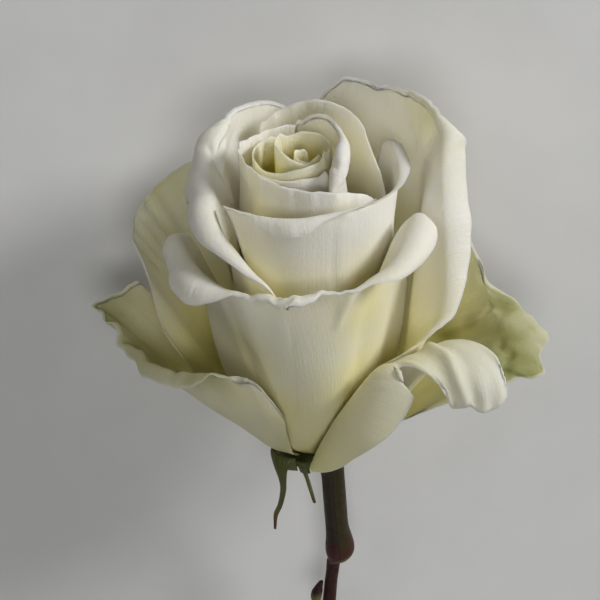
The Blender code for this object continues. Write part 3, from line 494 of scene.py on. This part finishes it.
class Sheet:
    """A petal's fine middle surface, with the turn and the level of each of its points.

    A level is 0 at the claw, 1 at the crest and 2 at the end of a rolled lip. Detail is placed by turn
    and level, and its sizes are millimetres.
    """

    def __init__(self, p, moved):
        body, lip = (BODY_ROWS - 1) * FINE, LIP_ROWS * FINE
        grid = skin(p, body + 1, lip, RIB_STEPS) + refined(moved, FINE, RIB_STEPS // p.per_gap)
        level = np.arange(len(grid)) / body
        level[body:] = 1 + np.arange(len(level) - body) / lip
        keep = (1 - (1 - np.linspace(0, 1, BODY_LINES)) ** GATHER) * body
        keep = np.append(keep, np.linspace(body, len(level) - 1, LIP_LINES))
        keep = np.unique(np.round(keep * SPLIT).astype(int))
        self.name = p.name
        self.grid = refined(grid, SPLIT, 1)[keep]
        rows, cols = self.grid.shape[:2]
        self.turn = np.repeat(ribs_of(p, RIB_STEPS)[None, :, 0], rows, 0)
        self.level = np.repeat(np.interp(keep / SPLIT, np.arange(len(level)), level)[:, None], cols, 1)
        # Green in spots: the petal's own green, and in places painted shade.
        self.green = np.zeros((rows, cols))
        # Yellow towards the claw colour: partly the heart's own yellow, partly painted glow in shaded
        # hollows.
        self.warm = np.zeros((rows, cols))
        self.spans()

    def spans(self):
        """Distances along the surface: up from the claw, from the rim, the nearest edge and the middle."""
        self.up = np.cumsum(length(np.diff(self.grid, axis=0, prepend=self.grid[:1])), 0)
        self.rim = self.up[-1:] - self.up
        across = np.cumsum(length(np.diff(self.grid, axis=1, prepend=self.grid[:, :1])), 1)
        self.edge = np.minimum(self.rim, np.minimum(across, across[:, -1:] - across))
        self.aside = across - across[:, -1:] / 2

    def at(self, turn, level):
        """The point nearest to that turn and level, 6 degrees counting as much as a twelfth of a level."""
        gap = ((self.turn - turn) / 6) ** 2 + ((self.level - level) * 12) ** 2
        return self.grid.reshape(-1, 3)[gap.argmin()]

    def within(self, start, end):
        """1 between two turns, fading to 0 at both."""
        return smooth((self.turn - start) / FADE) * smooth((end - self.turn) / FADE)

    def push(self, amount):
        """Moves the surface outward. A narrow rolled rim moves as one with the crest it hangs from."""
        normals = grid_normals(self.grid)
        crest = int((self.level[:, 0] <= 1).sum()) - 1
        steady = normals[np.minimum(np.arange(len(normals)), crest)]
        broad = smooth(self.rim[crest] / BROAD_LIP)[:, None]
        self.grid = self.grid + unit(steady + (normals - steady) * broad) * amount[..., None]

    def ahead(self, amount):
        """Moves the surface along itself, towards the rim."""
        step = unit(np.gradient(self.grid, axis=0))
        self.grid = self.grid + step * amount[..., None]

    def lumpy(self, height, size, seed, near_rim=0.0, reach=8.0):
        """Soft unevenness everywhere, and more of it close to the rim."""
        value = noise_at(self.grid / size + seed * 7.31)
        self.push(value * (height + near_rim * bell(self.edge / reach)) * smooth(self.up / 12))

    def frill(self, start, end, wave, height, reach, phase=0.0):
        """A waved rim from one turn to another. Its waves fade at both ends and down from the rim."""
        swing = np.sin(2 * np.pi * self.turn / wave + phase)
        swing = swing + 0.45 * np.sin(2 * np.pi * self.turn / (wave * 0.43) + 2.1 + phase)
        self.push(height * swing * self.within(start, end) * bell(self.rim / reach))

    def crease(self, points, width, depth):
        """A soft valley, or a ridge where depth is negative, through (turn, level) points."""
        line = np.array([self.at(*point) for point in points])
        gap = np.full(self.turn.shape, 1e9)
        for a, b in zip(line, line[1:]):
            along = b - a
            t = np.clip(((self.grid - a) @ along) / (along @ along), 0, 1)
            gap = np.minimum(gap, length(self.grid - a - t[..., None] * along))
        self.push(-depth * bell(gap / width))

    def facet(self, tip, left, right, slope, most, soft=0.8):
        """A patch that tilts out of the surface, further from the two lines that meet at its tip."""
        tip, left, right = (self.at(*point) for point in (tip, left, right))
        a, b = unit(left - tip), unit(right - tip)
        across = unit(np.cross(a, b))
        away = self.grid - tip
        inside = np.minimum(away @ np.cross(across, a), away @ np.cross(b, across))
        inside = (inside + np.sqrt(inside ** 2 + soft ** 2) - soft) / 2
        size = max(length(left - tip), length(right - tip)) * 1.3
        fade = smooth((size - length(away)) / (0.4 * size))
        self.push(np.tanh(inside * abs(slope) / most) * most * np.sign(slope) * fade)

    def folds(self, wave, long, seed):
        """Ridges with rounded valleys, from about -1 to 1, long times as long as they are wide."""
        places = np.stack([self.aside, self.up / long, np.full(self.up.shape, 5.17 * seed)], -1)
        return 0.5 - 1.6 * np.abs(noise_at(places / wave))

    def crumple(self, turn, level, size, height, wave, seed, long=2.0):
        """Folds round a point."""
        away = length(self.grid - self.at(turn, level))
        self.push(height * self.folds(wave, long, seed) * bell(away / size))

    def crisp_rim(self, start, end, height, wave, reach, seed):
        """Little folds along the rim from one turn to another."""
        self.push(height * self.folds(wave, 3.0, seed) * self.within(start, end) * bell(self.rim / reach))

    def notch(self, turn, half, depth, reach=6.0):
        """A dip of the rim at that turn, or a point where depth is negative."""
        self.ahead(-depth * bell((self.turn - turn) / half) * bell(self.rim / reach))

    def ragged(self, height, wave, seed, reach=5.0):
        """A rim that isn't quite even."""
        same = np.ones(self.turn.shape)
        value = noise_at(np.stack([self.turn / wave, same * seed * 3.7, same * 0.5], -1))
        self.ahead(height * value * bell(self.rim / reach))

    def spotted(self, field, spots):
        """The field with spots of (turn, level, size, strength)."""
        for turn, level, size, strength in spots:
            away = length(self.grid - self.at(turn, level))
            field = np.maximum(field, strength * bell(away / size))
        return field

    def green_and_shade(self, *spots):
        """Green in spots: the petal's own green, and where it is laid on broad and dark, painted shade."""
        self.green = self.spotted(self.green, spots)

    def paint_glow(self, *spots):
        """Painted glow in spots: yellow where light shines through the petal and where its hollows lie in
        shade.
        """
        self.warm = self.spotted(self.warm, spots)


# Building pieces

def leaf_shell(grid, thick, edge):
    """A closed skin of a thin blade. edge is each point's distance from its edge, where it thins out."""
    half = thick / 2 * (EDGE_THIN + (1 - EDGE_THIN) * smooth(edge / EDGE_TAPER))
    step = grid_normals(grid) * half[..., None]
    points = np.concatenate([(grid + step).reshape(-1, 3), (grid - step).reshape(-1, 3)])
    index = numbered(grid)
    n = index.size
    outer = cells_of(index)
    rim = np.concatenate([index[0], index[1:, -1], index[-1, -2::-1], index[-2:0:-1, 0]])
    after = np.roll(rim, -1)
    band = np.stack([after, rim, rim + n, after + n], 1)
    return points, np.concatenate([outer, outer[:, ::-1] + n, band])


def added(name, data):
    thing = bpy.data.objects.new(name, data)
    bpy.context.scene.collection.objects.link(thing)
    return thing


def piece(name, points, faces, made, nodes, slot, **values):
    """A mesh of the upright flower laid in place, with one number a point for each named value."""
    mesh = bpy.data.meshes.new(name)
    mesh.from_pydata(laid(points).tolist(), [], [list(face) for face in faces])
    mesh.shade_smooth()
    for key, value in values.items():
        data = mesh.attributes.new(key, "FLOAT", "POINT").data
        data.foreach_set("value", value.astype(np.float32).reshape(-1))
    mesh.materials.append(made)
    thing = added(name, mesh)
    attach(thing, "root")
    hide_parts(*nodes)


def twice(value):
    """A grid's values for both skins of its blade."""
    return np.tile(value.reshape(-1), 2)


def petal_piece(sheet, made, node, slot):
    sheet.spans()
    points, faces = leaf_shell(sheet.grid, LEAF, sheet.edge)
    piece("petal_" + sheet.name, points, faces, made, [node], slot,
          up=twice(sheet.up), rim=twice(sheet.edge), fan=twice(sheet.turn), aside=twice(sheet.aside),
          green=twice(sheet.green), warm=twice(sheet.warm))


# Materials

class Nodes:
    """Short calls for building a material's node tree."""

    def __init__(self, name):
        self.made = bpy.data.materials.new(name)
        self.made.use_nodes = True
        self.tree = self.made.node_tree
        self.shader = self.tree.nodes["Principled BSDF"]

    def link(self, value, socket):
        if isinstance(value, bpy.types.NodeSocket):
            self.tree.links.new(value, socket)
        else:
            socket.default_value = value

    def node(self, kind, **settings):
        made = self.tree.nodes.new(kind)
        for key, value in settings.items():
            setattr(made, key, value)
        return made

    def attribute(self, name):
        return self.node("ShaderNodeAttribute", attribute_name=name).outputs["Fac"]

    def math(self, operation, a, b):
        made = self.node("ShaderNodeMath", operation=operation)
        self.link(a, made.inputs[0])
        self.link(b, made.inputs[1])
        return made.outputs[0]

    def times(self, a, b):
        return self.math("MULTIPLY", a, b)

    def ramp(self, value, *stops):
        """A colour or a grey for each (place, colour) stop, with straight lines between."""
        made = self.node("ShaderNodeValToRGB")
        self.link(value, made.inputs[0])
        band = made.color_ramp
        while len(band.elements) < len(stops):
            band.elements.new(0.5)
        for element, (place, colour) in zip(band.elements, stops):
            element.position = place
            element.color = (*colour, 1) if isinstance(colour, tuple) else (colour, colour, colour, 1)
        return made.outputs[0]

    def mix(self, factor, a, b):
        """The colour a, and b where the factor is 1."""
        made = self.node("ShaderNodeMix", data_type="RGBA")
        for value, socket in ((factor, made.inputs[0]), (a, made.inputs[6]), (b, made.inputs[7])):
            if isinstance(value, tuple):
                value = (*value, 1)
            self.link(value, socket)
        return made.outputs[2]

    def vector(self, x, y, z=0.0):
        made = self.node("ShaderNodeCombineXYZ")
        for value, socket in zip((x, y, z), made.inputs):
            self.link(value, socket)
        return made.outputs[0]

    def noise(self, scale, detail, rough=0.5, at=None):
        """Soft noise over the piece's own coordinates, or over the given ones."""
        made = self.node("ShaderNodeTexNoise")
        if at is None:
            at = self.node("ShaderNodeTexCoord").outputs["Object"]
        self.link(at, made.inputs["Vector"])
        made.inputs["Scale"].default_value = scale
        made.inputs["Detail"].default_value = detail
        made.inputs["Roughness"].default_value = rough
        return made.outputs[0]

    def bump(self, height, distance, strength, normal=None):
        made = self.node("ShaderNodeBump")
        made.inputs["Strength"].default_value = strength
        made.inputs["Distance"].default_value = distance
        self.link(height, made.inputs["Height"])
        if normal is not None:
            self.link(normal, made.inputs["Normal"])
        return made.outputs[0]

    def finished(self, sockets):
        """The material, with the shader's sockets linked or set by their names."""
        for name, value in sockets.items():
            self.link(value, self.shader.inputs[name])
        return self.made


def petal_material(name, claw, middle, edge, green, rim, claw_end=0.3, green_all=0.0):
    """A petal: yellower at its claw, whitest towards its rim, with fine veins that fan up from the claw; it
    also carries painted glow, painted shade in dark green spots and a painted highlight along its edge.
    """
    n = Nodes(name)
    up, aside, fan = n.attribute("up"), n.attribute("aside"), n.attribute("fan")
    body = n.ramp(n.math("DIVIDE", up, PETAL_SPAN), (0.0, claw), (claw_end, middle), (0.66, edge))
    cloud = n.noise(CLOUDS, 3.0)
    body = n.mix(n.ramp(cloud, (0.35, 0.0), (0.75, 0.3)), body, middle)
    # Painted glow, and the heart's own yellow: the colour drawn towards the claw's.
    body = n.mix(n.attribute("warm"), body, claw)
    veins = n.noise(1.0, 3.0, 0.6, n.vector(n.times(fan, 1.3), n.times(up, 0.02)))
    body = n.mix(n.ramp(veins, (0.42, 0.0), (0.72, 0.12)), body, claw)
    # Green spots and flecks: the petal's own green, and in places painted shade.
    green_and_shade = n.math("ADD", n.attribute("green"), n.times(n.noise(FLECKS, 2.0), green_all))
    blotches = n.ramp(n.noise(BLOTCHES, 3.0), (0.3, 0.85), (0.6, 1.0))
    body = n.mix(n.math("MINIMUM", n.times(green_and_shade, blotches), 1.0), body, green)
    # Painted highlight: a brighter line along the very edge, for the light that thin rims let through.
    line = n.ramp(n.math("DIVIDE", n.attribute("rim"), RIM_HIGHLIGHT_BAND), (0.0, 1.0), (0.28, 0.0))
    body = n.mix(n.times(line, 0.6), body, rim)
    threads = n.noise(1.0, 2.0, 0.6, n.vector(n.times(aside, 2.6), n.times(up, 0.06), 3.0))
    normal = n.bump(threads, 0.0003, 0.3, n.bump(veins, 0.0003, 0.2))
    normal = n.bump(n.noise(GRAIN, 4.0, 0.65), 0.00016, 0.7, normal)
    return n.finished({
        "Base Color": body, "Roughness": n.ramp(cloud, (0.3, 0.62), (0.7, 0.5)), "Normal": normal,
        "Subsurface Weight": 0.6, "Subsurface Radius": (1.0, 0.92, 0.55), "Subsurface Scale": 0.0018,
        "Sheen Weight": 0.1, "Sheen Roughness": 0.5, "Specular IOR Level": 0.35})


def sepal_material():
    """Sepals: yellow-green and finely veined, with tips that turn yellow and then red."""
    n = Nodes("sepal_leaf")
    up = n.attribute("up")
    body = n.ramp(up, (0.0, (0.10, 0.11, 0.02)), (0.45, (0.07, 0.08, 0.012)), (0.82, (0.14, 0.13, 0.02)),
                  (0.95, (0.13, 0.03, 0.015)))
    cloud = n.noise(BLOTCHES, 3.0)
    body = n.mix(n.ramp(cloud, (0.35, 0.0), (0.7, 0.5)), body, (0.04, 0.045, 0.008))
    veins = n.noise(1.0, 2.0, at=n.vector(n.times(n.attribute("aside"), 2.2), n.times(up, 2.0)))
    body = n.mix(n.ramp(veins, (0.5, 0.0), (0.7, 0.4)), body, (0.16, 0.17, 0.05))
    return n.finished({
        "Base Color": body, "Roughness": n.ramp(cloud, (0.3, 0.6), (0.7, 0.45)),
        "Normal": n.bump(veins, 0.0003, 0.7), "Subsurface Weight": 0.15,
        "Subsurface Radius": (0.6, 1.0, 0.3), "Subsurface Scale": 0.001})


def stem_material():
    """The stem, from the hip down: green, olive brown, a red node with a pale lip, and dark red below."""
    n = Nodes("stem_bark")
    down = n.math("DIVIDE", n.attribute("down"), STEM_SPAN)
    body = n.ramp(down, (0.0, (0.09, 0.11, 0.03)), (0.03, (0.06, 0.06, 0.02)),
                  (0.06, (0.034, 0.024, 0.014)), (0.25, (0.030, 0.020, 0.012)),
                  (0.285, (0.060, 0.014, 0.014)), (0.315, (0.080, 0.022, 0.022)),
                  (0.34, (0.032, 0.006, 0.007)), (1.0, (0.028, 0.007, 0.006)))
    striped = n.times(n.attribute("stripe"), n.ramp(down, (0.26, 0.8), (0.31, 0.0)))
    body = n.mix(striped, body, (0.028, 0.026, 0.004))
    streak = n.noise(0.35, 4.0, at=n.vector(n.times(n.attribute("around"), 3.0), n.attribute("down")))
    body = n.mix(n.ramp(streak, (0.4, 0.0), (0.7, 0.4)), body, (0.050, 0.036, 0.018))
    dots = n.noise(DOTS, 2.0)
    body = n.mix(n.ramp(dots, (0.62, 0.0), (0.72, 0.35)), body, (0.08, 0.06, 0.025))
    body = n.mix(n.attribute("pale"), body, (0.16, 0.15, 0.05))
    return n.finished({
        "Base Color": body, "Roughness": n.ramp(streak, (0.3, 0.62), (0.7, 0.5)),
        "Normal": n.bump(dots, 0.0002, 0.5, n.bump(streak, 0.0004, 0.6)), "Specular IOR Level": 0.25,
        "Subsurface Weight": 0.05, "Subsurface Scale": 0.001})


def floor_material():
    n = Nodes("floor_plain")
    fleck = n.noise(FLOOR_FLECKS, 3.0)
    pale = n.ramp(fleck, (0.3, (0.70, 0.70, 0.69)), (0.7, (0.73, 0.73, 0.72)))
    return n.finished({"Base Color": pale, "Roughness": 0.8})


# The flower

def all_sheets():
    """Every whorl and petal as a fine sheet, moved clear of the ones inside it as the solids were."""
    placed = [skin(w, BODY_ROWS, LIP_ROWS, w.per_gap) for w in WHORLS]
    sheets = {w.name: Sheet(w, np.zeros_like(grid)) for w, grid in zip(WHORLS, placed)}
    for p in PETALS:
        grid = skin(p, BODY_ROWS, LIP_ROWS, p.per_gap)
        moved = clear_of(grid, tree_of(placed + [core_grid()]), CLEARANCE)
        placed.append(grid + moved)
        sheets[p.name] = Sheet(p, moved)
    return sheets


def shape_details(s):
    """What each petal shows: waves, folds, notches and spots of green, and painted light: yellow spots of
    glow, and shade in some of the green spots.
    """
    # The heart's petals turn yellower away from the rim: partly their own yellow, partly painted glow of
    # the shaded heart.
    for name, strength in (("whorl", 0.9), ("inner_front", 0.6), ("inner_left", 0.3), ("inner_back", 0.3)):
        for sheet in (s[key] for key in s if key.startswith(name)):
            sheet.warm = strength * smooth((sheet.rim - 1) / 7)
    for i, name in enumerate(s):
        guard = name.startswith("guard")
        tender = name.startswith(("whorl", "inner"))
        s[name].lumpy(0.4 if guard else 0.2, 11, i, near_rim=0.4 if guard else 0.15)
        s[name].ragged(0.9 if guard else 0.2 if tender else 0.4, 11, i)
        s[name].ragged(0.25 if guard else 0.08, 4, i + 0.5, reach=2.5)
    shape_left(s["left"])
    shape_front(s["front"])
    shape_lower_front(s["lower_front"])
    shape_right_back(s["right_back"])
    shape_left_back(s["left_back"])
    shape_guard_left(s["guard_left"])
    shape_guard_front(s["guard_front_right"])
    shape_guard_right(s["guard_right"])
    s["inner_right"].crumple(45, 1.5, 4.5, 0.4, 3.2, 3)
    s["inner_right"].crease([(52, 0.98), (44, 1.5), (34, 1.8)], 0.8, 0.4)
    s["inner_back"].frill(112, 196, 15, 0.12, 3)
    s["inner_left"].frill(-200, 60, 22, 0.2, 4)
    s["back_inner"].frill(130, 226, 16, 0.7, 7)
    s["guard_back"].frill(146, 216, 12, 0.3, 6)


def shape_left(left):
    left.facet((-104, 0.95), (-116, 1.3), (-152, 0.97), -0.9, 3, soft=0.3)
    left.crease([(-117, 1.35), (-111, 1.15), (-104, 0.95)], 0.7, -0.35)
    left.crumple(-134, 1.3, 4, 0.4, 3, 41)
    left.frill(-165, -130, 9, 0.12, 3)
    # Painted glow: yellow low down beside the front petal, where light shines through into shade.
    left.paint_glow((-52, 0.8, 9, 0.35))


def shape_front(front):
    front.crumple(31, 1.2, 3.2, 0.6, 3, 7)
    front.crumple(24, 0.97, 2.6, 0.2, 3, 8)
    front.crease([(26, 1), (20, 0.93), (15, 0.83), (13, 0.76)], 0.9, 0.12)
    front.crease([(32, 1), (27, 0.9), (22, 0.8)], 1.6, -0.15)
    front.frill(-50, 60, 14, 0.08, 3, 0.7)
    front.notch(-22, 3, 0.5, 4)
    # Painted glow: yellow spots where light shines through the shaded bowl.
    front.paint_glow((-44, 0.9, 8, 0.7), (-36, 0.75, 8, 0.6), (-18, 0.75, 8, 0.4), (40, 0.75, 9, 0.35))


def shape_lower_front(low):
    low.crumple(-12, 1.5, 3, 0.6, 2.6, 11, long=1.2)
    low.crumple(-24, 1.4, 3.6, 0.5, 2.6, 12, long=1.2)
    low.crumple(0, 1.6, 3, 0.5, 2.8, 14, long=1.2)
    low.frill(-34, 20, 13, 0.5, 3, 1)
    low.facet((-10, 0.93), (-15, 1.02), (1, 1.02), 0.3, 1.2)
    low.notch(-12, 3, 0.8, 4)
    low.notch(-5, 4, -0.9, 3)
    low.crease([(-7, 0.97), (-8, 0.8), (-11, 0.62), (-18, 0.45), (-24, 0.33)], 0.9, 0.1)
    low.facet((15, 0.86), (13, 0.99), (30, 0.97), 0.45, 1.8, soft=0.5)
    low.crease([(20, 0.98), (15, 0.86)], 0.9, -0.35)
    low.frill(-112, -40, 24, 0.2, 7, 0.4)
    low.green_and_shade((-12, 1.1, 3.5, 0.3), (-20, 1.2, 3.5, 0.25))
    # Painted glow: yellow spots where light shines through its shaded sides.
    low.paint_glow((-42, 0.7, 8, 0.5), (-34, 0.45, 8, 0.6), (36, 0.8, 9, 0.6), (30, 0.5, 9, 0.5))


def shape_right_back(back):
    back.crumple(111, 0.95, 5, 0.5, 4, 21, long=1.2)
    back.crumple(104, 0.99, 4, 0.4, 3, 22, long=1.2)
    back.facet((112, 0.88), (128, 1), (97, 1), -0.35, 2.2)
    back.frill(96, 158, 12, 0.2, 3)
    back.crisp_rim(92, 160, 0.15, 3, 1.5, 23)
    back.frill(50, 92, 9, 0.2, 5)
    back.notch(100, 2.5, 0.8, 3)
    back.notch(124, 3, 0.8, 3)
    back.notch(139, 2.5, 0.6, 3)
    back.green_and_shade((108, 0.98, 6, 0.4), (103, 1.1, 4, 0.4), (96, 1, 5, 0.2))


def shape_left_back(behind):
    for turn, depth in ((-118, 0.9), (-112, 0.7), (-107, 0.8), (-101, 0.6), (-125, 0.8)):
        behind.crease([(turn, 1.4), (turn - 1, 0.97), (turn - 5, 0.84)], 1.2, depth)
    behind.crisp_rim(-168, -90, 0.15, 4, 2, 25)
    # Darker green towards the top: partly its own green, partly painted shade.
    behind.green_and_shade((-126, 1, 8, 0.55), (-112, 0.85, 12, 0.35), (-100, 0.5, 9, 0.25))
    # Painted glow: a yellow spot low on the petal, where light shines through into shade.
    behind.paint_glow((-108, 0.5, 12, 0.7))


def shape_guard_left(left):
    for turn in (-62, -53, -44):
        left.crumple(turn, 1, 5, 0.7, 4, turn)
    left.crumple(-66, 0.95, 5, 0.5, 4, 31)
    left.crisp_rim(-112, -20, 0.4, 4, 4, 32)
    left.frill(-110, -70, 11, 0.7, 8)
    left.crease([(-90, 1), (-92, 0.85), (-96, 0.6)], 1.2, 0.5)
    left.crease([(-98, 1), (-99, 0.8), (-100, 0.55)], 1.2, 0.5)
    left.crease([(-45, 0.98), (-52, 0.8), (-60, 0.6)], 2, 0.7)
    left.notch(-34, 4, 1.6, 5)
    left.notch(-47, 3, 1, 5)
    # Green spots: the rolled rim's own green; the broad dark spots on the inner face are painted shade.
    left.green_and_shade((-55, 1.3, 5, 0.5), (-48, 1.1, 5, 0.6), (-60, 0.95, 5, 0.4), (-100, 1, 10, 0.7),
              (-88, 0.8, 12, 0.6))


def shape_guard_front(front):
    front.crease([(57, 1.05), (54, 1.3), (50, 1.6), (49, 1.9)], 1.3, 1)
    front.crease([(61, 1.05), (58, 1.4), (54, 1.9)], 1.6, -0.6)
    front.crease([(52, 1.05), (48, 1.4), (45, 1.8)], 2, -0.5)
    front.crumple(54, 1.5, 7, 0.6, 4, 33, long=4)
    front.crumple(28, 1.45, 5, 0.2, 3.4, 34, long=3)
    front.frill(42, 72, 14, 0.4, 6)
    front.notch(51, 2.5, 1.5, 6)


def shape_guard_right(right):
    right.crease([(99, 0.66), (95, 0.86), (93, 1.02)], 1.2, 0.9)
    right.crease([(97, 0.64), (90, 0.85), (87, 1), (87, 1.4)], 1.8, -0.7)
    right.crease([(84, 1), (79, 1.25), (73, 1.6)], 1.3, -0.9)
    right.crease([(81, 1.25), (80, 1.9)], 1.2, -0.9)
    right.crease([(76, 1.15), (73, 1.9)], 1.4, 0.5)
    right.crease([(90, 1.15), (92, 1.7)], 1.5, 0.7)
    right.crease([(106, 0.8), (101, 0.95)], 1.4, 0.5)
    for turn, level in ((93, 1.3), (86, 1.6), (79, 1.7)):
        right.crumple(turn, level, 5, 0.9, 4.2, turn, long=3)
    right.frill(64, 98, 9, 0.6, 4)
    right.ragged(1, 3.2, 38, reach=4)
    right.notch(83, 1.5, 1.6, 5)
    right.notch(88, 1.5, -1.8, 4)
    right.notch(80, 1.3, -1.4, 4)
    right.crisp_rim(100, 136, 0.2, 4, 2, 37)
    # Dark green over the hanging lip: partly its own green, partly painted shade.
    right.green_and_shade((98, 0.66, 4, 0.8), (95, 0.85, 3, 0.7), (93, 1.5, 6, 0.9), (80, 1.7, 4, 0.95),
               (88, 1.35, 8, 0.7), (84, 1.2, 12, 0.85), (78, 1.5, 14, 0.95), (76, 1.8, 10, 0.9),
               (100, 1.3, 6, 0.4))
    # Painted glow: a yellow spot where light shines through into shade.
    right.paint_glow((106, 0.7, 12, 0.5))


def build_petals():
    # green is also the colour of painted shade, where its spots lie broad and dark.
    cream = dict(claw=(0.84, 0.72, 0.22), middle=(0.89, 0.82, 0.50), edge=(0.90, 0.87, 0.76),
                 green=(0.50, 0.50, 0.20), rim=(0.95, 0.93, 0.84))
    inner = dict(claw=(0.84, 0.70, 0.15), middle=(0.89, 0.80, 0.33), edge=(0.91, 0.86, 0.62),
                 green=(0.50, 0.52, 0.22), rim=(0.93, 0.89, 0.66))
    guards = dict(claw=(0.60, 0.56, 0.22), middle=(0.74, 0.70, 0.46), edge=(0.82, 0.79, 0.68),
                  green=(0.24, 0.25, 0.09), rim=(0.86, 0.84, 0.62))
    # Each set's rim is the colour of the painted highlight along the petal's edge.
    looks = {"petal": petal_material("petal_cream", **cream),
             "heart": petal_material("petal_heart", **inner, claw_end=0.45),
             "guard": petal_material("petal_guard", **guards, green_all=0.25)}
    sheets = all_sheets()
    shape_details(sheets)
    for name, sheet in sheets.items():
        if name.startswith("whorl"):
            petal_piece(sheet, looks["heart"], "heart", "heart")
        else:
            slot = "guard" if name.startswith("guard") else "petal"
            petal_piece(sheet, looks[slot], name, slot)


def build_sepals():
    made = sepal_material()
    for name, (turn, path) in SEPALS.items():
        grid = fine_blade(turn, between(path, RING_STEPS))
        rows, cols = grid.shape[:2]
        up = np.repeat(np.linspace(0, 1, rows)[:, None], cols, 1)
        aside = np.repeat(np.linspace(-SEPAL_SIDE, SEPAL_SIDE, cols)[None], rows, 0)
        points, faces = leaf_shell(grid, SEPAL_LEAF, (SEPAL_SIDE - np.abs(aside)) / SEPAL_SIDE)
        piece(name + "_leaf", points, faces, made, [name], "sepal", up=twice(up), aside=twice(aside))


def pale_of(node, around, down):
    """Where the bark is pale: a slanting lip round the node, the stem's cut end and the bud's lower end."""
    if node == "bud":
        return smooth((down - BUD_PALE) / 2.5)
    lip = bell((down - NODE_LIP + NODE_SLANT * np.sin(around)) / NODE_HALF)
    lip = lip * np.clip(0.3 + np.cos(around - 0.8), 0, 1)
    return np.maximum(lip, smooth((down - STEM_LENGTH) / 0.1 + 1))


def build_stem():
    made = stem_material()
    for node, rings, sides in (("stem", STEM, STEM_SIDES), ("bud", BUD, BUD_SIDES)):
        rings = between(rings, RING_STEPS)
        points, faces = sweep(rings, sides)
        around = np.tile(np.linspace(0, 2 * np.pi, sides, endpoint=False), len(rings))
        around = np.append(around, (0, 0))
        down = np.append(np.repeat(-rings[:, 2], sides), -rings[[0, -1], 2])
        stripe = np.exp((np.cos(around - 0.4) - 1) / 0.07)
        piece(node + "_bark", points, faces, made, [node], node,
              around=around, down=down, pale=pale_of(node, around, down), stripe=stripe)


# The studio

def build_floor():
    bpy.ops.mesh.primitive_plane_add(size=FLOOR_SIZE)
    floor = bpy.context.object
    floor.name = "floor"
    floor.data.materials.append(floor_material())


def build_camera():
    forward = np.array([0.0, cos(CAMERA_ABOVE), -sin(CAMERA_ABOVE)])
    up = np.array([0.0, sin(CAMERA_ABOVE), cos(CAMERA_ABOVE)])
    side = np.array([1.0, 0.0, 0.0])
    leaning_up = up * cos(CAMERA_LEAN) + side * sin(CAMERA_LEAN)
    leaning_side = side * cos(CAMERA_LEAN) - up * sin(CAMERA_LEAN)
    axes = [Vector(laid_way(way)).normalized() for way in (leaning_side, leaning_up, -forward)]
    camera = added("camera", bpy.data.cameras.new("camera"))
    camera.data.lens = CAMERA_LENS
    camera.data.sensor_width = CAMERA_SENSOR
    camera.data.clip_start = 0.01
    camera.matrix_world = (Matrix.Translation(laid([CAMERA_AIM - forward * CAMERA_DISTANCE])[0])
                           @ Matrix(axes).transposed().to_4x4())
    bpy.context.scene.camera = camera


def lamp(name, spot, size, power, colour):
    """A round lamp that faces the bloom."""
    light = bpy.data.lights.new(name, "AREA")
    light.shape = "DISK"
    light.size = size
    light.energy = power
    light.color = colour
    thing = added(name, light)
    thing.location = spot
    thing.rotation_euler = (Vector(BLOOM) - Vector(spot)).to_track_quat("-Z", "Y").to_euler()


def build_lights():
    lamp("key", (0.80, 0.47, 0.38), 0.32, 6.9, (1.0, 0.99, 0.98))
    lamp("front", (0.02, 0.04, 0.65), 0.25, 0.95, (1.0, 1.0, 1.0))
    lamp("side", (-0.28, 0.32, 0.48), 0.3, 0.25, (1.0, 1.0, 0.99))
    lamp("low", (-0.10, -0.50, 0.30), 0.3, 0.45, (1.0, 1.0, 0.99))
    world = bpy.data.worlds.new("studio")
    bpy.context.scene.world = world
    world.use_nodes = True
    sky = world.node_tree.nodes["Background"].inputs
    sky["Color"].default_value = (0.95, 0.97, 1.0, 1)
    sky["Strength"].default_value = 0.03
    bpy.context.scene.view_settings.view_transform = "Standard"


build_camera()
build_petals()
build_sepals()
build_stem()
build_floor()
build_lights()
